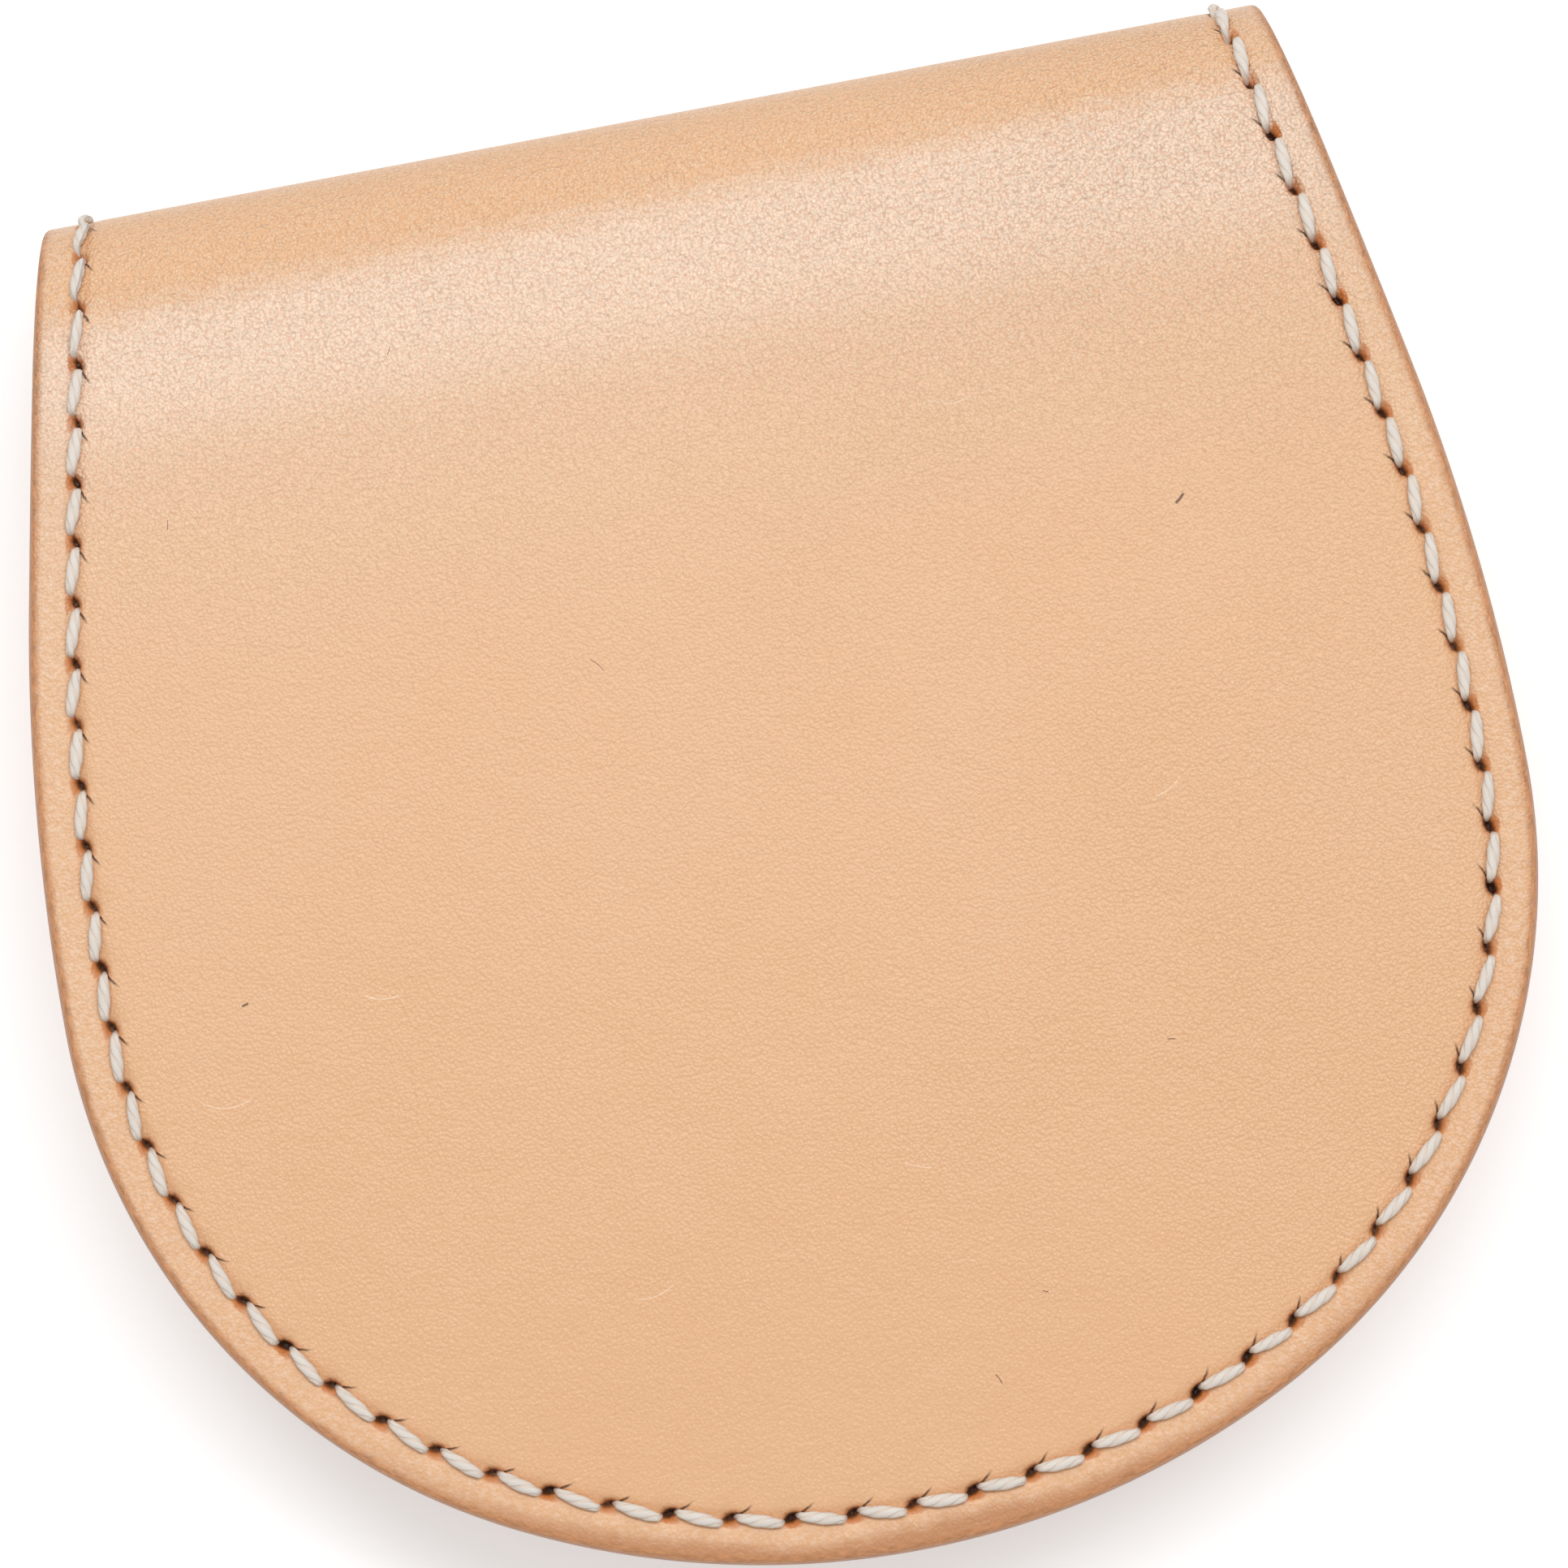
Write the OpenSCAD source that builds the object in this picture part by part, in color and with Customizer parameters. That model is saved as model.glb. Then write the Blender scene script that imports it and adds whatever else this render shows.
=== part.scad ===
// Horseshoe coin purse in undyed leather, closed and lying on its back.
// X runs across the lobes, +Y points to the fold, +Z is the lid's outward side.
// The origin is the centre of the bounding box in plan, on the resting face.

/* [Outline] */
// Greatest width across the lobes
body_w = 85; // [78:1:96]
// Length from the fold to the tip
body_l = 84.5; // [79:0.5:96]
// Length of the round toe, from the widest line to the tip
toe_l = 38; // [33:0.5:38.5]
// Radius of the long side curves
side_r = 130; // [110:1:160]
// Radius of the two shoulder curves
shoulder_r = 36.5; // [26:0.5:36.5]
// Flare of the straight stretches next to the fold, in degrees
flare_deg = 10.5; // [8:0.5:14]

/* [Leather] */
// Thickness of the outer leather
outer_t = 1.6; // [1.2:0.1:2.2]
// Thickness of the lining
lining_t = 0.8; // [0.6:0.1:1.2]
// Thickness of the gusset strip
gusset_t = 0.8; // [0.6:0.1:1.2]
// Thickness of the pocket front
front_t = 1.2; // [1:0.1:1.8]
// How far the pocket's leather is trimmed inside the shell's edge
front_trim = 1; // [0.5:0.1:2]

/* [Pocket] */
// Height of the gusset's wall between its two flanges
pocket_h = 5.8; // [5:0.1:9]
// Room between the pocket front and the lid's lining
lid_gap = 2.6; // [2.5:0.1:4]
// Distance from the fold to the pocket's mouth
mouth_v = 15; // [12:0.5:22]
// Width of the gusset's flanges, from the trimmed edge to the wall
flange_w = 4.6; // [4.2:0.1:7]

/* [Seams] */
// Distance of the seams from the shell's edge
seam_in = 2.8; // [2.5:0.1:3.4]
// Stitch length
stitch_pitch = 3.47; // [3:0.01:5]
// Thickness of the waxed thread
thread_d = 0.7; // [0.5:0.05:0.8]
// Awl hole, across
hole_d = 0.9; // [0.85:0.05:1.2]
// How deep a stitch is drawn into the leather
thread_sink = 0.4; // [0.2:0.05:0.5]
// How far a stitch stands out where nothing rests on it
thread_proud = 0.25; // [0.1:0.05:0.4]
// Clearance on each side of a stitch in its groove
groove_gap = 0.15; // [0.1:0.05:0.4]

/* [Press stud] */
// Distance from the fold to the press stud
stud_v = 65; // [50:0.5:69]
// Diameter of the stud's base and of the rivet's flange
stud_base_d = 9; // [8:0.1:11]
// Diameter of the stud's round head
stud_head_d = 3.8; // [3.4:0.1:4.4]
// Outer diameter of the socket
socket_d = 10; // [9:0.1:12]
// Height of the socket
socket_h = 1.9; // [1.7:0.1:2.2]
// Radial room between the stud's head and the socket
stud_gap = 0.35; // [0.3:0.05:0.6]
// Thickness of the pressed brass
brass_t = 0.4; // [0.3:0.05:0.5]
// Diameter of the rivets through the leather
rivet_d = 2.2; // [2:0.1:2.4]
// Radial clearance of the metal parts in their holes
fit_gap = 0.1; // [0.05:0.01:0.2]
// Wire of the socket's ring spring
spring_wire_d = 0.5; // [0.4:0.05:0.6]

/* [Hidden] */
$fn = 48;

// Colours of the finishes
tan_grain = [0.925, 0.745, 0.565];
tan_flesh = [0.86, 0.70, 0.53];
linen = [0.93, 0.89, 0.81];
brass = [0.80, 0.66, 0.38];
steel = [0.70, 0.70, 0.72];

// Heights of the layers above the resting face
shell_t = outer_t + lining_t;
z_flange_back = shell_t;
z_wall = z_flange_back + gusset_t;
z_flange_front = z_wall + pocket_h;
z_front = z_flange_front + gusset_t;
z_front_top = z_front + front_t;
z_lid_in = z_front_top + lid_gap;
z_lid_mid = z_lid_in + lining_t;
z_top = z_lid_mid + outer_t;

// The fold is a half circle from the back's face to the lid's face
fold_r = z_top / 2;
fold_y = body_l / 2;
bend_y = fold_y - fold_r;

// Curves of the outline, with y = 0 on the fold and the tip at -body_l
widest_v = body_l - toe_l;
// The toe's arc needs shoulders rounder than the toe is long
shoulder_share = 0.96;
shoulder = min(shoulder_r, shoulder_share * toe_l);
shoulder_x = body_w / 2 - shoulder;
toe_r = (toe_l * toe_l + shoulder_x * shoulder_x - shoulder * shoulder)
    / (2 * (toe_l - shoulder));
side_c = [body_w / 2 - side_r, -widest_v];
shoulder_c = [shoulder_x, -widest_v];
toe_c = [0, toe_r - body_l];
toe_deg = atan2(toe_c[1] - shoulder_c[1], shoulder_c[0]);

// The outline runs on past the fold, where the bend itself ends the leather
past_fold = 1;

// Points along a round stretch, about one every arc_step degrees
arc_step = 2.5;
function arc(c, r, from, to) =
    let (n = ceil(abs(to - from) / arc_step))
    [for (i = [0:n]) c + r * [cos(from + (to - from) * i / n), sin(from + (to - from) * i / n)]];

// Right-hand half of the outline, drawn in by inset, from just past the fold to the tip
function half_outline(inset) =
    let (start = side_c + (side_r - inset) * [cos(flare_deg), sin(flare_deg)])
    concat(
        [[start[0] + (start[1] - past_fold) * tan(flare_deg), past_fold]],
        arc(side_c, side_r - inset, flare_deg, 0),
        arc(shoulder_c, shoulder - inset, -arc_step, -toe_deg),
        arc(toe_c, toe_r - inset, -toe_deg - arc_step, -90)
    );
function mirrored(points) = [for (i = [len(points) - 1:-1:0]) [-points[i][0], points[i][1]]];
function outline(inset) =
    let (half = half_outline(inset))
    [for (p = concat(half, mirrored(half))) p + [0, fold_y]];

// Lengths of the seam's stretches on one side, counted up from the tip
seam_toe = (toe_r - seam_in) * (90 - toe_deg) * PI / 180;
seam_shoulder = (shoulder - seam_in) * toe_deg * PI / 180;
seam_side = (side_r - seam_in) * flare_deg * PI / 180;
seam_start = side_c + (side_r - seam_in) * [cos(flare_deg), sin(flare_deg)];
seam_line = (-fold_r - seam_start[1]) / cos(flare_deg);
seam_half = seam_toe + seam_shoulder + seam_side + seam_line;
deg_per_rad = 180 / PI;

// Point of the right-hand seam at the distance s from the tip
function seam_right(s) =
    s < seam_toe
    ? let (a = -90 + s / (toe_r - seam_in) * deg_per_rad)
        toe_c + (toe_r - seam_in) * [cos(a), sin(a)]
    : s < seam_toe + seam_shoulder
    ? let (a = -toe_deg + (s - seam_toe) / (shoulder - seam_in) * deg_per_rad)
        shoulder_c + (shoulder - seam_in) * [cos(a), sin(a)]
    : s < seam_toe + seam_shoulder + seam_side
    ? let (a = (s - seam_toe - seam_shoulder) / (side_r - seam_in) * deg_per_rad)
        side_c + (side_r - seam_in) * [cos(a), sin(a)]
    : let (d = s - seam_toe - seam_shoulder - seam_side)
        seam_start + d * [-sin(flare_deg), cos(flare_deg)];

// The seam's holes lie an equal step apart, with one at the tip and none on the bend's line
half_steps = round(seam_half / stitch_pitch - 0.5);
stitch = seam_half / (half_steps + 0.5);
function seam_hole(i) =
    let (p = seam_right(abs(i) * stitch))
    [i < 0 ? -p[0] : p[0], p[1] + fold_y];
// Highest hole that still has pocket leather round it, this share of a stitch from the mouth
mouth_share = 0.4;
pocket_steps = floor((seam_half - (mouth_v - fold_r) / cos(flare_deg)) / stitch - mouth_share);

// Stitches round the bend on one side
bend_steps = round(PI * fold_r / stitch);
bend_step_deg = 180 / bend_steps;

groove_w = thread_d + 2 * groove_gap;
thread_h = thread_sink + thread_proud;
// Thread drawn tight through its hole
thread_in_d = thread_d - 0.1;
// Share of a stitch that is left at the end of a run
stub = 0.3;

// The press stud's inner sizes: the head stops short of the cap's flared rivet
flare_h = 0.3;
flare_over = 0.5;
flare_r = rivet_d / 2 + flare_over;
lip_h = 0.3;
socket_in_r = stud_head_d / 2 + stud_gap;
spring_r = socket_in_r + spring_wire_d / 2;
socket_boss_r = spring_r + spring_wire_d / 2 + brass_t + 2 * fit_gap;
neck_wall = 0.35;
stud_neck_r = rivet_d / 2 + fit_gap + neck_wall;
head_h = lid_gap - 2 * brass_t - 2 * flare_h;
// The head swells out of its neck between these heights and is rounded off above the last one
neck_top = 0.3 * head_h;
head_low = 0.5 * head_h;
head_high = 0.75 * head_h;
head_round = 0.3;

// ---------------------------------------------------------------- leather

module plan(inset = 0) {
    polygon(outline(inset));
}

// Plan of a lobe from the line v below the fold to the tip
module lobe_plan(v, inset = 0) {
    intersection() {
        plan(inset);
        translate([-body_w, fold_y - v - 2 * body_l]) square([2 * body_w, 2 * body_l]);
    }
}

module awl_holes(last) {
    for (i = [-last:last]) translate(seam_hole(i)) circle(d = hole_d);
}

// Pressed line under the stitches, as a band along the seam
module groove(v, z, depth) {
    translate([0, 0, z]) linear_extrude(depth) intersection() {
        difference() {
            plan(seam_in - groove_w / 2);
            plan(seam_in + groove_w / 2);
        }
        translate([-body_w, fold_y - v - 2 * body_l]) square([2 * body_w, 2 * body_l]);
    }
}

module outer_back() {
    color(tan_grain) difference() {
        linear_extrude(outer_t) difference() {
            lobe_plan(fold_r);
            awl_holes(half_steps);
        }
        groove(fold_r, -1, 1 + thread_sink);
    }
}

module lining_back() {
    color(tan_flesh) translate([0, 0, outer_t]) linear_extrude(lining_t) difference() {
        lobe_plan(fold_r);
        awl_holes(half_steps);
    }
}

module outer_lid() {
    color(tan_grain) difference() {
        translate([0, 0, z_lid_mid]) linear_extrude(outer_t) difference() {
            lobe_plan(fold_r);
            awl_holes(half_steps);
        }
        groove(fold_r, z_top - thread_sink, 1);
        translate([0, fold_y - stud_v, z_lid_mid - 1])
            cylinder(d = stud_base_d + 2 * fit_gap, h = 1 + brass_t + fit_gap);
    }
}

module lining_lid() {
    color(tan_flesh) difference() {
        translate([0, 0, z_lid_in]) linear_extrude(lining_t) difference() {
            lobe_plan(fold_r);
            awl_holes(half_steps);
        }
        groove(fold_r, z_lid_in - 1, 1 + thread_sink);
        translate([0, fold_y - stud_v, z_lid_in - 1])
            cylinder(d = rivet_d + 2 * fit_gap, h = lining_t + 2);
    }
}

// Half tube round the bend, cut to the outline in plan
module bend_sheet(r_out, r_in) {
    intersection() {
        translate([-body_w / 2, bend_y, fold_r]) rotate([90, 0, 90]) linear_extrude(body_w) difference() {
            circle(r = r_out, $fn = 96);
            circle(r = r_in, $fn = 96);
            translate([-2 * r_out, -2 * r_out]) square([2 * r_out, 4 * r_out]);
        }
        translate([0, 0, -1]) linear_extrude(z_top + 2) plan();
    }
}

// Where the seam crosses the bend at an angle from the back's line, 0, to the lid's, 180
function bend_x(deg) =
    let (y = fold_r * sin(deg) - fold_r)
    seam_start[0] - (y - seam_start[1]) * tan(flare_deg);

// Places something at the bend's angle, its own +Z pointing out of the leather
module at_bend(deg, side) {
    translate([side * bend_x(deg), bend_y, fold_r]) rotate([deg - 180, 0, 0]) children();
}

module bend_holes(r_out) {
    for (side = [-1, 1]) for (i = [0:bend_steps - 1])
        at_bend((i + 0.5) * bend_step_deg, side)
            cylinder(d = hole_d, h = r_out + 1);
}

module outer_fold() {
    color(tan_grain) difference() {
        bend_sheet(fold_r, fold_r - outer_t);
        bend_holes(fold_r);
        intersection() {
            bend_sheet(fold_r + 1, fold_r - thread_sink);
            translate([0, 0, -1]) linear_extrude(z_top + 2) difference() {
                plan(seam_in - groove_w / 2);
                plan(seam_in + groove_w / 2);
            }
        }
    }
}

module lining_fold() {
    color(tan_flesh) difference() {
        bend_sheet(fold_r - outer_t, fold_r - shell_t);
        bend_holes(fold_r);
    }
}

// One channel-shaped strip: two flanges sewn at the seams and a wall set in from them
module gusset() {
    wall_in = front_trim + flange_w;
    color(tan_flesh) {
        difference() {
            translate([0, 0, z_flange_back]) linear_extrude(2 * gusset_t + pocket_h) difference() {
                lobe_plan(mouth_v, front_trim);
                plan(wall_in + gusset_t);
            }
            translate([0, 0, z_wall]) linear_extrude(pocket_h) difference() {
                translate([-body_w, -2 * body_l]) square([2 * body_w, 4 * body_l]);
                plan(wall_in);
            }
            translate([0, 0, z_flange_back - 1]) linear_extrude(2 * gusset_t + pocket_h + 2)
                awl_holes(half_steps);
        }
    }
}

module pocket_front() {
    color(tan_grain) difference() {
        translate([0, 0, z_front]) linear_extrude(front_t) difference() {
            lobe_plan(mouth_v, front_trim);
            awl_holes(half_steps);
            translate([0, fold_y - stud_v]) circle(d = rivet_d + 2 * fit_gap);
        }
        groove(mouth_v, z_front_top - thread_sink, 1);
    }
}

// ---------------------------------------------------------------- seams

// Plan of one flattened stitch along +X from the origin
module stitch_plan(length) {
    half = thread_d / 2;
    polygon(concat(
        [for (a = [90:45:270]) half * [cos(a), sin(a)]],
        [for (a = [-90:45:90]) [length, 0] + half * [cos(a), sin(a)]]
    ));
}

// One stitch: a bar on each face, joined by the thread through the hole they start from
module stitch_bars(length, z_low, h_low, z_high, h_high) {
    translate([0, 0, z_low]) linear_extrude(h_low) stitch_plan(length);
    translate([0, 0, z_high]) linear_extrude(h_high) stitch_plan(length);
    translate([0, 0, z_low + h_low / 2])
        cylinder(d = thread_in_d, h = z_high - z_low + (h_high - h_low) / 2);
}

// Stitches from the hole first to the hole last round a lobe; the run's end stitch is a stub
module seam_run(first, last, end, z_low, h_low, z_high, h_high) {
    for (i = [first:1:last]) {
        a = seam_hole(i);
        b = i < end ? seam_hole(i + 1) : a + (a - seam_hole(i - 1));
        d = b - a;
        length = (i < end ? 1 : stub) * (norm(d) - thread_d - groove_gap);
        translate(a) rotate(atan2(d[1], d[0])) stitch_bars(length, z_low, h_low, z_high, h_high);
    }
}

// The back's stitches climb on to the gusset's flange where the pocket begins
module back_seam() {
    color(linen) {
        seam_run(-half_steps, -pocket_steps - 2, half_steps, 0, thread_sink, shell_t, thread_sink);
        seam_run(-pocket_steps - 1, pocket_steps, half_steps, 0, thread_sink, z_wall, thread_sink);
        seam_run(pocket_steps + 1, half_steps, half_steps, 0, thread_sink, shell_t, thread_sink);
    }
}

module lid_seam() {
    color(linen) seam_run(-half_steps, half_steps, half_steps,
        z_lid_in - thread_proud, thread_h, z_top - thread_sink, thread_h);
}

module pocket_seam() {
    color(linen) seam_run(-pocket_steps, pocket_steps, pocket_steps,
        z_flange_front - thread_sink, thread_sink, z_front_top - thread_sink, thread_h);
}

// One straight stitch between two holes of the bend, across the middle of their angle
module bend_bar(side, deg, r, z, h, part) {
    dx = side * (bend_x(deg + bend_step_deg) - bend_x(deg));
    chord = 2 * r * sin(bend_step_deg / 2);
    length = part * (norm([dx, chord]) - thread_d - groove_gap);
    at_bend(deg + bend_step_deg / 2, side)
        translate([-dx / 2, chord / 2, z]) rotate(atan2(-chord, dx))
            linear_extrude(h) stitch_plan(length);
}

module fold_seam() {
    r_in = fold_r - shell_t;
    half_cos = cos(bend_step_deg / 2);
    z_out = fold_r - thread_sink + fit_gap;
    z_in = r_in * half_cos - thread_sink - fit_gap;
    color(linen) for (side = [-1, 1]) for (i = [0:bend_steps - 1]) {
        deg = (i + 0.5) * bend_step_deg;
        part = i < bend_steps - 1 ? 1 : stub;
        bend_bar(side, deg, fold_r, z_out, thread_sink - fit_gap, part);
        bend_bar(side, deg, z_in / half_cos, z_in, thread_sink, part);
        at_bend(deg, side) translate([0, 0, r_in - thread_sink])
            cylinder(d = thread_in_d, h = shell_t + thread_sink);
    }
}

// ---------------------------------------------------------------- press stud

module at_stud(z) {
    translate([0, fold_y - stud_v, z]) children();
}

// Blind cap held between the lid's two layers, its rivet set through the lining and the socket
module snap_cap() {
    color(brass) at_stud(z_lid_in) rotate_extrude() polygon([
        [0, -brass_t - flare_h],
        [flare_r, -brass_t - flare_h],
        [flare_r, -brass_t],
        [rivet_d / 2, -brass_t],
        [rivet_d / 2, lining_t],
        [stud_base_d / 2, lining_t],
        [stud_base_d / 2, lining_t + brass_t],
        [0, lining_t + brass_t]
    ]);
}

module snap_socket() {
    color(brass) at_stud(z_lid_in - socket_h) rotate_extrude() polygon([
        [socket_in_r, 0],
        [socket_boss_r, 0],
        [socket_boss_r, socket_h - 2 * brass_t],
        [socket_d / 2, socket_h - brass_t],
        [socket_d / 2, socket_h],
        [rivet_d / 2 + fit_gap, socket_h],
        [rivet_d / 2 + fit_gap, socket_h - brass_t],
        [socket_in_r, socket_h - brass_t],
        [socket_in_r, lip_h + spring_wire_d + fit_gap],
        [spring_r + spring_wire_d / 2 + fit_gap, lip_h + spring_wire_d + fit_gap],
        [spring_r + spring_wire_d / 2 + fit_gap, lip_h],
        [socket_in_r, lip_h]
    ]);
}

// Open ring of wire that lies in the socket's groove
module snap_spring() {
    color(steel) at_stud(z_lid_in - socket_h + lip_h + spring_wire_d / 2 + fit_gap / 2)
        rotate_extrude(angle = 330) translate([spring_r, 0]) circle(d = spring_wire_d, $fn = 24);
}

module snap_stud() {
    head_r = stud_head_d / 2;
    bore_r = rivet_d / 2 + fit_gap;
    color(brass) at_stud(z_front_top) rotate_extrude() polygon([
        [bore_r, 0],
        [stud_base_d / 2, 0],
        [stud_base_d / 2, brass_t],
        [stud_neck_r, brass_t],
        [stud_neck_r, brass_t + neck_top],
        [head_r, brass_t + head_low],
        [head_r, brass_t + head_high],
        [head_r - head_round, brass_t + head_h],
        [0, brass_t + head_h],
        [0, head_h],
        [bore_r, head_h]
    ]);
}

// Rivet set from inside the pocket, through the pocket front, into the stud
module snap_rivet() {
    color(brass) at_stud(z_front) rotate_extrude() polygon([
        [0, -brass_t],
        [stud_base_d / 2, -brass_t],
        [stud_base_d / 2, 0],
        [rivet_d / 2, 0],
        [rivet_d / 2, front_t + head_h - fit_gap],
        [0, front_t + head_h - fit_gap]
    ]);
}

outer_back();
outer_fold();
outer_lid();
lining_back();
lining_fold();
lining_lid();
gusset();
pocket_front();
back_seam();
fold_seam();
lid_seam();
pocket_seam();
snap_cap();
snap_socket();
snap_spring();
snap_stud();
snap_rivet();
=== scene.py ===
"""Dresses a horseshoe coin purse: undyed leather sheets bent along their fold, sewn with waxed thread."""

import math

import bpy
import numpy as np
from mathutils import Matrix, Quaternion, Vector, geometry


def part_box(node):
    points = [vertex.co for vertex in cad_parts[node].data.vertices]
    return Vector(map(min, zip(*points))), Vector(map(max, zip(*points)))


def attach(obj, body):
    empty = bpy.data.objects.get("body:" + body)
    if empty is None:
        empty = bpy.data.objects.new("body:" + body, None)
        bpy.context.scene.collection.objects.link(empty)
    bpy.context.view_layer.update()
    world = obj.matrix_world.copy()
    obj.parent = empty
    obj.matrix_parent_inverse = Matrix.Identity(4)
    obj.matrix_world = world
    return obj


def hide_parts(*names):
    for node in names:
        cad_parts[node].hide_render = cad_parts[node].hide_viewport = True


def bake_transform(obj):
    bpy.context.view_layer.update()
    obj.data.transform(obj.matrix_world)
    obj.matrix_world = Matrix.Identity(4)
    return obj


bl_info = {
    "name": "Horseshoe coin purse",
    "version": (1, 0, 0),
    "blender": (4, 5, 0),
    "location": "View3D > Sidebar > Purse",
    "description": "Leather sheets, seams, press stud and studio of a horseshoe coin purse",
    "category": "Object",
}

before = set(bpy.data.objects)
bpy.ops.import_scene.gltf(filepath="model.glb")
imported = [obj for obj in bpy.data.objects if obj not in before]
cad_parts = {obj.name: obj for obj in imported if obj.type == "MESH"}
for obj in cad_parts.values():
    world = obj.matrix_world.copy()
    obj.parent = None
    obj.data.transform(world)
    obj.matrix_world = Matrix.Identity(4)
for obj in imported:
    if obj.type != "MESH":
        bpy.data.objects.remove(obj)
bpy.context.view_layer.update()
MM = 0.001


def cad_mm(node):
    """Lowest and highest corner of a CAD node, in millimetres."""
    low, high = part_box(node)
    return [c / MM for c in low], [c / MM for c in high]


LID_LOW, LID_HIGH = cad_mm("outer_lid")
BACK_HIGH = cad_mm("outer_back")[1]
FOLD_HIGH = cad_mm("outer_fold")[1]
LINING_LOW, LINING_HIGH = cad_mm("lining_lid")
FRONT_LOW, FRONT_HIGH = cad_mm("pocket_front")
GUSSET_LOW, GUSSET_HIGH = cad_mm("gusset")
STUD_LOW, STUD_HIGH = cad_mm("snap_stud")
SOCKET_LOW, SOCKET_HIGH = cad_mm("snap_socket")


# Settings


def size(name, about, default):
    """A length in millimetres, or an angle in degrees, that a user may change."""
    return bpy.props.FloatProperty(name=name, description=about, default=default, unit="NONE")


def linear(channel):
    """Light of a screen channel from 0 to 255."""
    c = channel / 255
    return c / 12.92 if c <= 0.04045 else ((c + 0.055) / 1.055) ** 2.4


def colour(name, about, screen):
    """A colour that a user may change, given as it shows on a screen, from 0 to 255."""
    return bpy.props.FloatVectorProperty(
        name=name, description=about, default=[linear(c) for c in screen],
        size=3, min=0.0, max=1.0, subtype="COLOR",
    )


class PurseSizes(bpy.types.PropertyGroup):
    """Sizes of the purse in millimetres"""

    fold_y: size("Fold", "Place of the fold along Y", FOLD_HIGH[1])
    width: size("Width", "Greatest width", LID_HIGH[0] - LID_LOW[0])
    length: size("Length", "From the fold to the tip", FOLD_HIGH[1] - LID_LOW[1])
    toe_length: size("Toe length", "From the widest line to the tip", 38.0)
    side_radius: size("Side radius", "Radius of the long side curves", 130.0)
    shoulder_radius: size("Shoulder radius", "Radius of the shoulder curves", 36.5)
    flare: size("Flare", "Slope of the straight sides next to the fold, in degrees", 10.5)
    thickness: size("Thickness", "Of the closed purse", LID_HIGH[2])
    crown: size("Crown", "How far the lid swells above its plain height", 0.3)
    droop: size("Droop", "How far the lid's tip slopes down, in degrees", 3.2)
    outer_leather: size("Outer leather", "Thickness", BACK_HIGH[2])
    lining: size("Lining", "Thickness", LINING_HIGH[2] - LINING_LOW[2])
    strip: size("Gusset strip", "Thickness", 0.8)
    mouth: size("Mouth", "From the fold to the pocket's mouth", FOLD_HIGH[1] - FRONT_HIGH[1])
    trim: size("Trim", "How far the pocket lies inside the shell's edge", LID_HIGH[0] - FRONT_HIGH[0])
    flange: size("Flange", "Width of the gusset's flanges", 4.6)
    seam_inset: size("Seam inset", "Distance of the seams from the edge", 2.8)
    stitch: size("Stitch", "Length from hole to hole", 3.5)
    thread: size("Thread", "Thickness of the waxed thread", 0.66)


class PurseColours(bpy.types.PropertyGroup):
    """Colours of the finishes"""

    grain: colour("Grain side", "Undyed leather, grain side", (231, 186, 144))
    # Also the colour of the painted highlight along the bend, the painted reflection on the fold's crest
    # and painted sparkle on the grain
    pale: colour("Stretched grain", "Where the leather is bent and stretched", (243, 213, 189))
    warm: colour("Warm patches", "Where hands have deepened the leather", (231, 180, 135))
    flesh: colour("Lining", "Natural lining leather", (220, 182, 144))
    edge: colour("Edge", "Burnished cut edge", (206, 144, 98))
    # Also used for the painted shade on the lower part of the cut edges
    joint_line_and_shade: colour("Layer line", "Glue line between the two layers", (120, 78, 68))
    # Also used for the painted shade in the grain's crevices, in its dark specks and where the thread
    # leaves its hole
    stain_and_shade: colour("Awl stain", "Orange-brown skin round the awl holes", (200, 116, 52))
    # Painted shade: the dark inside of the awl holes and of their slits
    pit: colour("Awl hole", "Inside of the awl holes", (62, 34, 22))
    thread: colour("Thread", "Waxed linen", (233, 224, 214))
    brass: colour("Brass", "Press stud", (214, 178, 112))
    steel: colour("Steel", "Ring spring", (190, 190, 194))
    floor: colour("Floor", "Pale floor", (246, 246, 246))


class PurseStudio(bpy.types.PropertyGroup):
    """Camera and lamps"""

    view_width: size("View width", "Width of the picture at the lid's height", 89.4)
    view_x: size("View X", "Middle of the picture", 0.49)
    view_y: size("View Y", "Middle of the picture", 2.16)
    distance: size("Distance", "From the camera to the lid", 500.0)
    tilt: size("Tilt", "How far the camera leans towards the tip, in degrees", 3.5)
    roll: size("Roll", "Turn of the purse in the picture, in degrees", 10.61)
    sky: size("Sky", "Light of the surroundings", 0.59)
    panel: size("Panel", "Power of the overhead panel, in watts", 3.5)


def sizes():
    return bpy.context.scene.purse_sizes


def colours():
    return bpy.context.scene.purse_colours


# Outline and side profile


def half_width(v):
    """Half the purse's width at the distance v from the fold, in mm."""
    p = sizes()
    flare = math.radians(p.flare)
    widest = p.length - p.toe_length
    side_x = p.width / 2 - p.side_radius
    line_end = widest - p.side_radius * math.sin(flare)
    shoulder_x = p.width / 2 - p.shoulder_radius
    toe_r = (p.toe_length ** 2 + shoulder_x ** 2 - p.shoulder_radius ** 2) / (
        2 * (p.toe_length - p.shoulder_radius)
    )
    toe_v = p.length - toe_r
    toe_angle = math.atan2(widest - toe_v, shoulder_x)
    toe_start = widest + p.shoulder_radius * math.sin(toe_angle)
    if v < line_end:
        start = side_x + p.side_radius * math.cos(flare)
        return start - (line_end - v) * math.tan(flare)
    if v < widest:
        return side_x + math.sqrt(p.side_radius ** 2 - (widest - v) ** 2)
    if v < toe_start:
        return shoulder_x + math.sqrt(p.shoulder_radius ** 2 - (v - widest) ** 2)
    return math.sqrt(max(toe_r ** 2 - (v - toe_v) ** 2, 0.0))


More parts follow.
